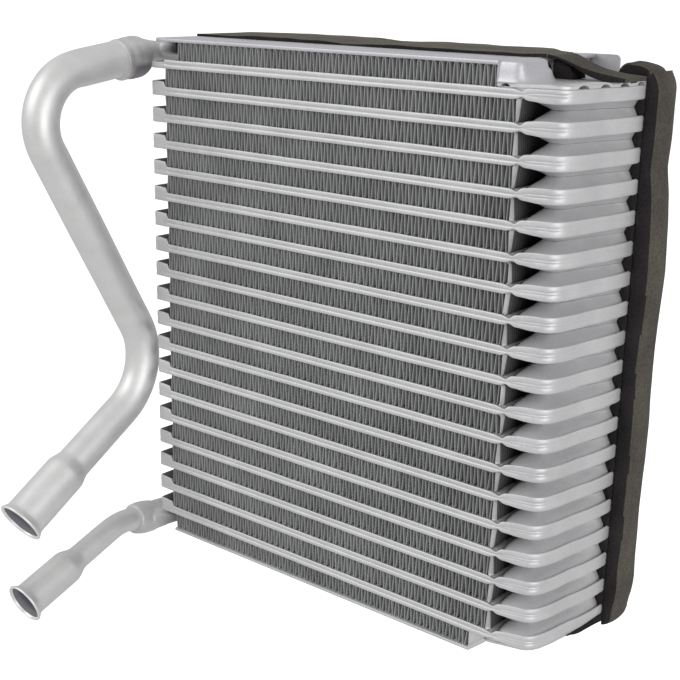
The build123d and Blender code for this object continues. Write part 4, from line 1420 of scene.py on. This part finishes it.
def bottom_plate():
    sh = Shell()
    prof = [(-96.3, 0.25), (-96.05, 0.0), (72.2, 0.0), (72.9, 0.12),
            (73.5, 0.5), (80.0, 6.05), (80.2, 6.4), (80.2, 7.55), (80.0, 7.8),
            (79.6, 7.8), (79.4, 7.6), (72.9, 1.75), (72.3, 1.4),
            (71.6, 1.3), (-96.05, 1.3), (-96.3, 1.05)]
    c = np.array(prof)
    n = normals_2d(c)
    rings = []
    for y, d in ((-34.2, 0.22), (-34.08, 0.06), (-33.9, 0.0), (33.9, 0.0),
                 (34.08, 0.06), (34.2, 0.22)):
        q = c + n * d
        rings.append(np.c_[q[:, 0], np.full(len(q), y), q[:, 1]])
    sh.loft(np.array(rings))
    # side walls that close the bent end
    for y in (-33.35, 32.75):
        tri = [(72.5, 0.5), (80.15, 6.9), (80.15, 7.9), (76.0, 8.25),
               (72.5, 8.35)]
        sh.loft(np.array([[(a, y, b) for a, b in tri],
                          [(a, y + 0.6, b) for a, b in tri]]))
    return sh


make("side_plate_bottom", bottom_plate(), ["bottom_side_plate"],
     TUBE, sharp=40)

# --------------------------------------------------- CAD nodes with a material
def dress(node, material, bevel=0.0):
    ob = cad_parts[node]
    ob.data.materials.clear()
    ob.data.materials.append(material)
    if bevel > 0:
        b = ob.modifiers.new("edge", "BEVEL")
        b.width = bevel * 0.001
        b.segments = 2
        b.limit_method = "ANGLE"
        b.angle_limit = math.radians(40)
        b.harden_normals = False


for nm in ("bottom_tank_cover", "rear_bracket"):
    dress(nm, PLATE)
DUCT = duct_material()
for nm in ("suction_duct", "liquid_duct"):
    dress(nm, DUCT)

# ------------------------------------------------------------- floor and light
floor_z = -0.155
fm = bpy.data.meshes.new("floor")
fm.from_pydata([(-400, -400, floor_z), (400, -400, floor_z),
                (400, 400, floor_z), (-400, 400, floor_z)], [], [(0, 1, 2, 3)])
floor = bpy.data.objects.new("floor", fm)
bpy.context.scene.collection.objects.link(floor)
fmat = bpy.data.materials.new("floor_paper")
nt, bsdf = nodes_of(fmat)
tex = nt.nodes.new("ShaderNodeTexNoise")
tex.inputs["Scale"].default_value = 3.0
rmp = nt.nodes.new("ShaderNodeValToRGB")
rmp.color_ramp.elements[0].color = (0.86, 0.86, 0.86, 1)
rmp.color_ramp.elements[1].color = (0.90, 0.90, 0.90, 1)
nt.links.new(tex.outputs["Fac"], rmp.inputs["Fac"])
nt.links.new(rmp.outputs["Color"], bsdf.inputs["Base Color"])
bsdf.inputs["Roughness"].default_value = 0.9
bsdf.inputs["Specular IOR Level"].default_value = 0.1
bsdf.inputs["Emission Color"].default_value = (1, 1, 1, 1)
bsdf.inputs["Emission Strength"].default_value = 0.70
fm.materials.append(fmat)
floor.visible_diffuse = False
floor.visible_glossy = False

world = bpy.data.worlds.new("studio")
bpy.context.scene.world = world
world.use_nodes = True
wn = world.node_tree.nodes
wn["Background"].inputs["Color"].default_value = (1.0, 1.0, 1.0, 1)
wn["Background"].inputs["Strength"].default_value = 0.58


def area(name, loc, target, size, power, size_y=None):
    ld = bpy.data.lights.new(name, "AREA")
    ld.shape = "RECTANGLE"
    ld.size = size
    ld.size_y = size_y or size
    ld.energy = power
    lo = bpy.data.objects.new(name, ld)
    lo.location = loc
    d = Vector(target) - Vector(loc)
    lo.rotation_euler = d.to_track_quat("-Z", "Y").to_euler()
    bpy.context.scene.collection.objects.link(lo)
    return lo


C = (0.0, 0.0, 0.11)
area("key", (-0.75, -1.25, 1.15), C, 1.2, 9.0)
area("fill", (1.5, -0.75, 0.30), C, 1.3, 11.0)

# ---------------------------------------------------------------------- camera
cam_data = bpy.data.cameras.new("camera")
cam_data.sensor_fit = "HORIZONTAL"
cam_data.sensor_width = 36.0
cam_data.lens = 1261.6308715683406 * 36.0 / 680.0
cam_data.clip_start = 0.01
cam_data.clip_end = 1500.0
cam = bpy.data.objects.new("camera", cam_data)
right = (0.7683677071858281, 0.6397483750555732, 0.01825056623086191)
down = (0.19179273041533887, -0.20295913255423348, -0.9602203596428595)
ahead = (-0.6105952956859582, 0.7413026420609782, -0.27864633096380564)
rot = Matrix(((right[0], -down[0], -ahead[0]),
              (right[1], -down[1], -ahead[1]),
              (right[2], -down[2], -ahead[2])))
cam.matrix_world = Matrix.Translation((0.3169467965675777, -0.41406946459721513,
                                       0.2578079719976617)) @ rot.to_4x4()
bpy.context.scene.collection.objects.link(cam)
bpy.context.scene.camera = cam

scene = bpy.context.scene
scene.view_settings.view_transform = "Standard"
scene.view_settings.look = "None"
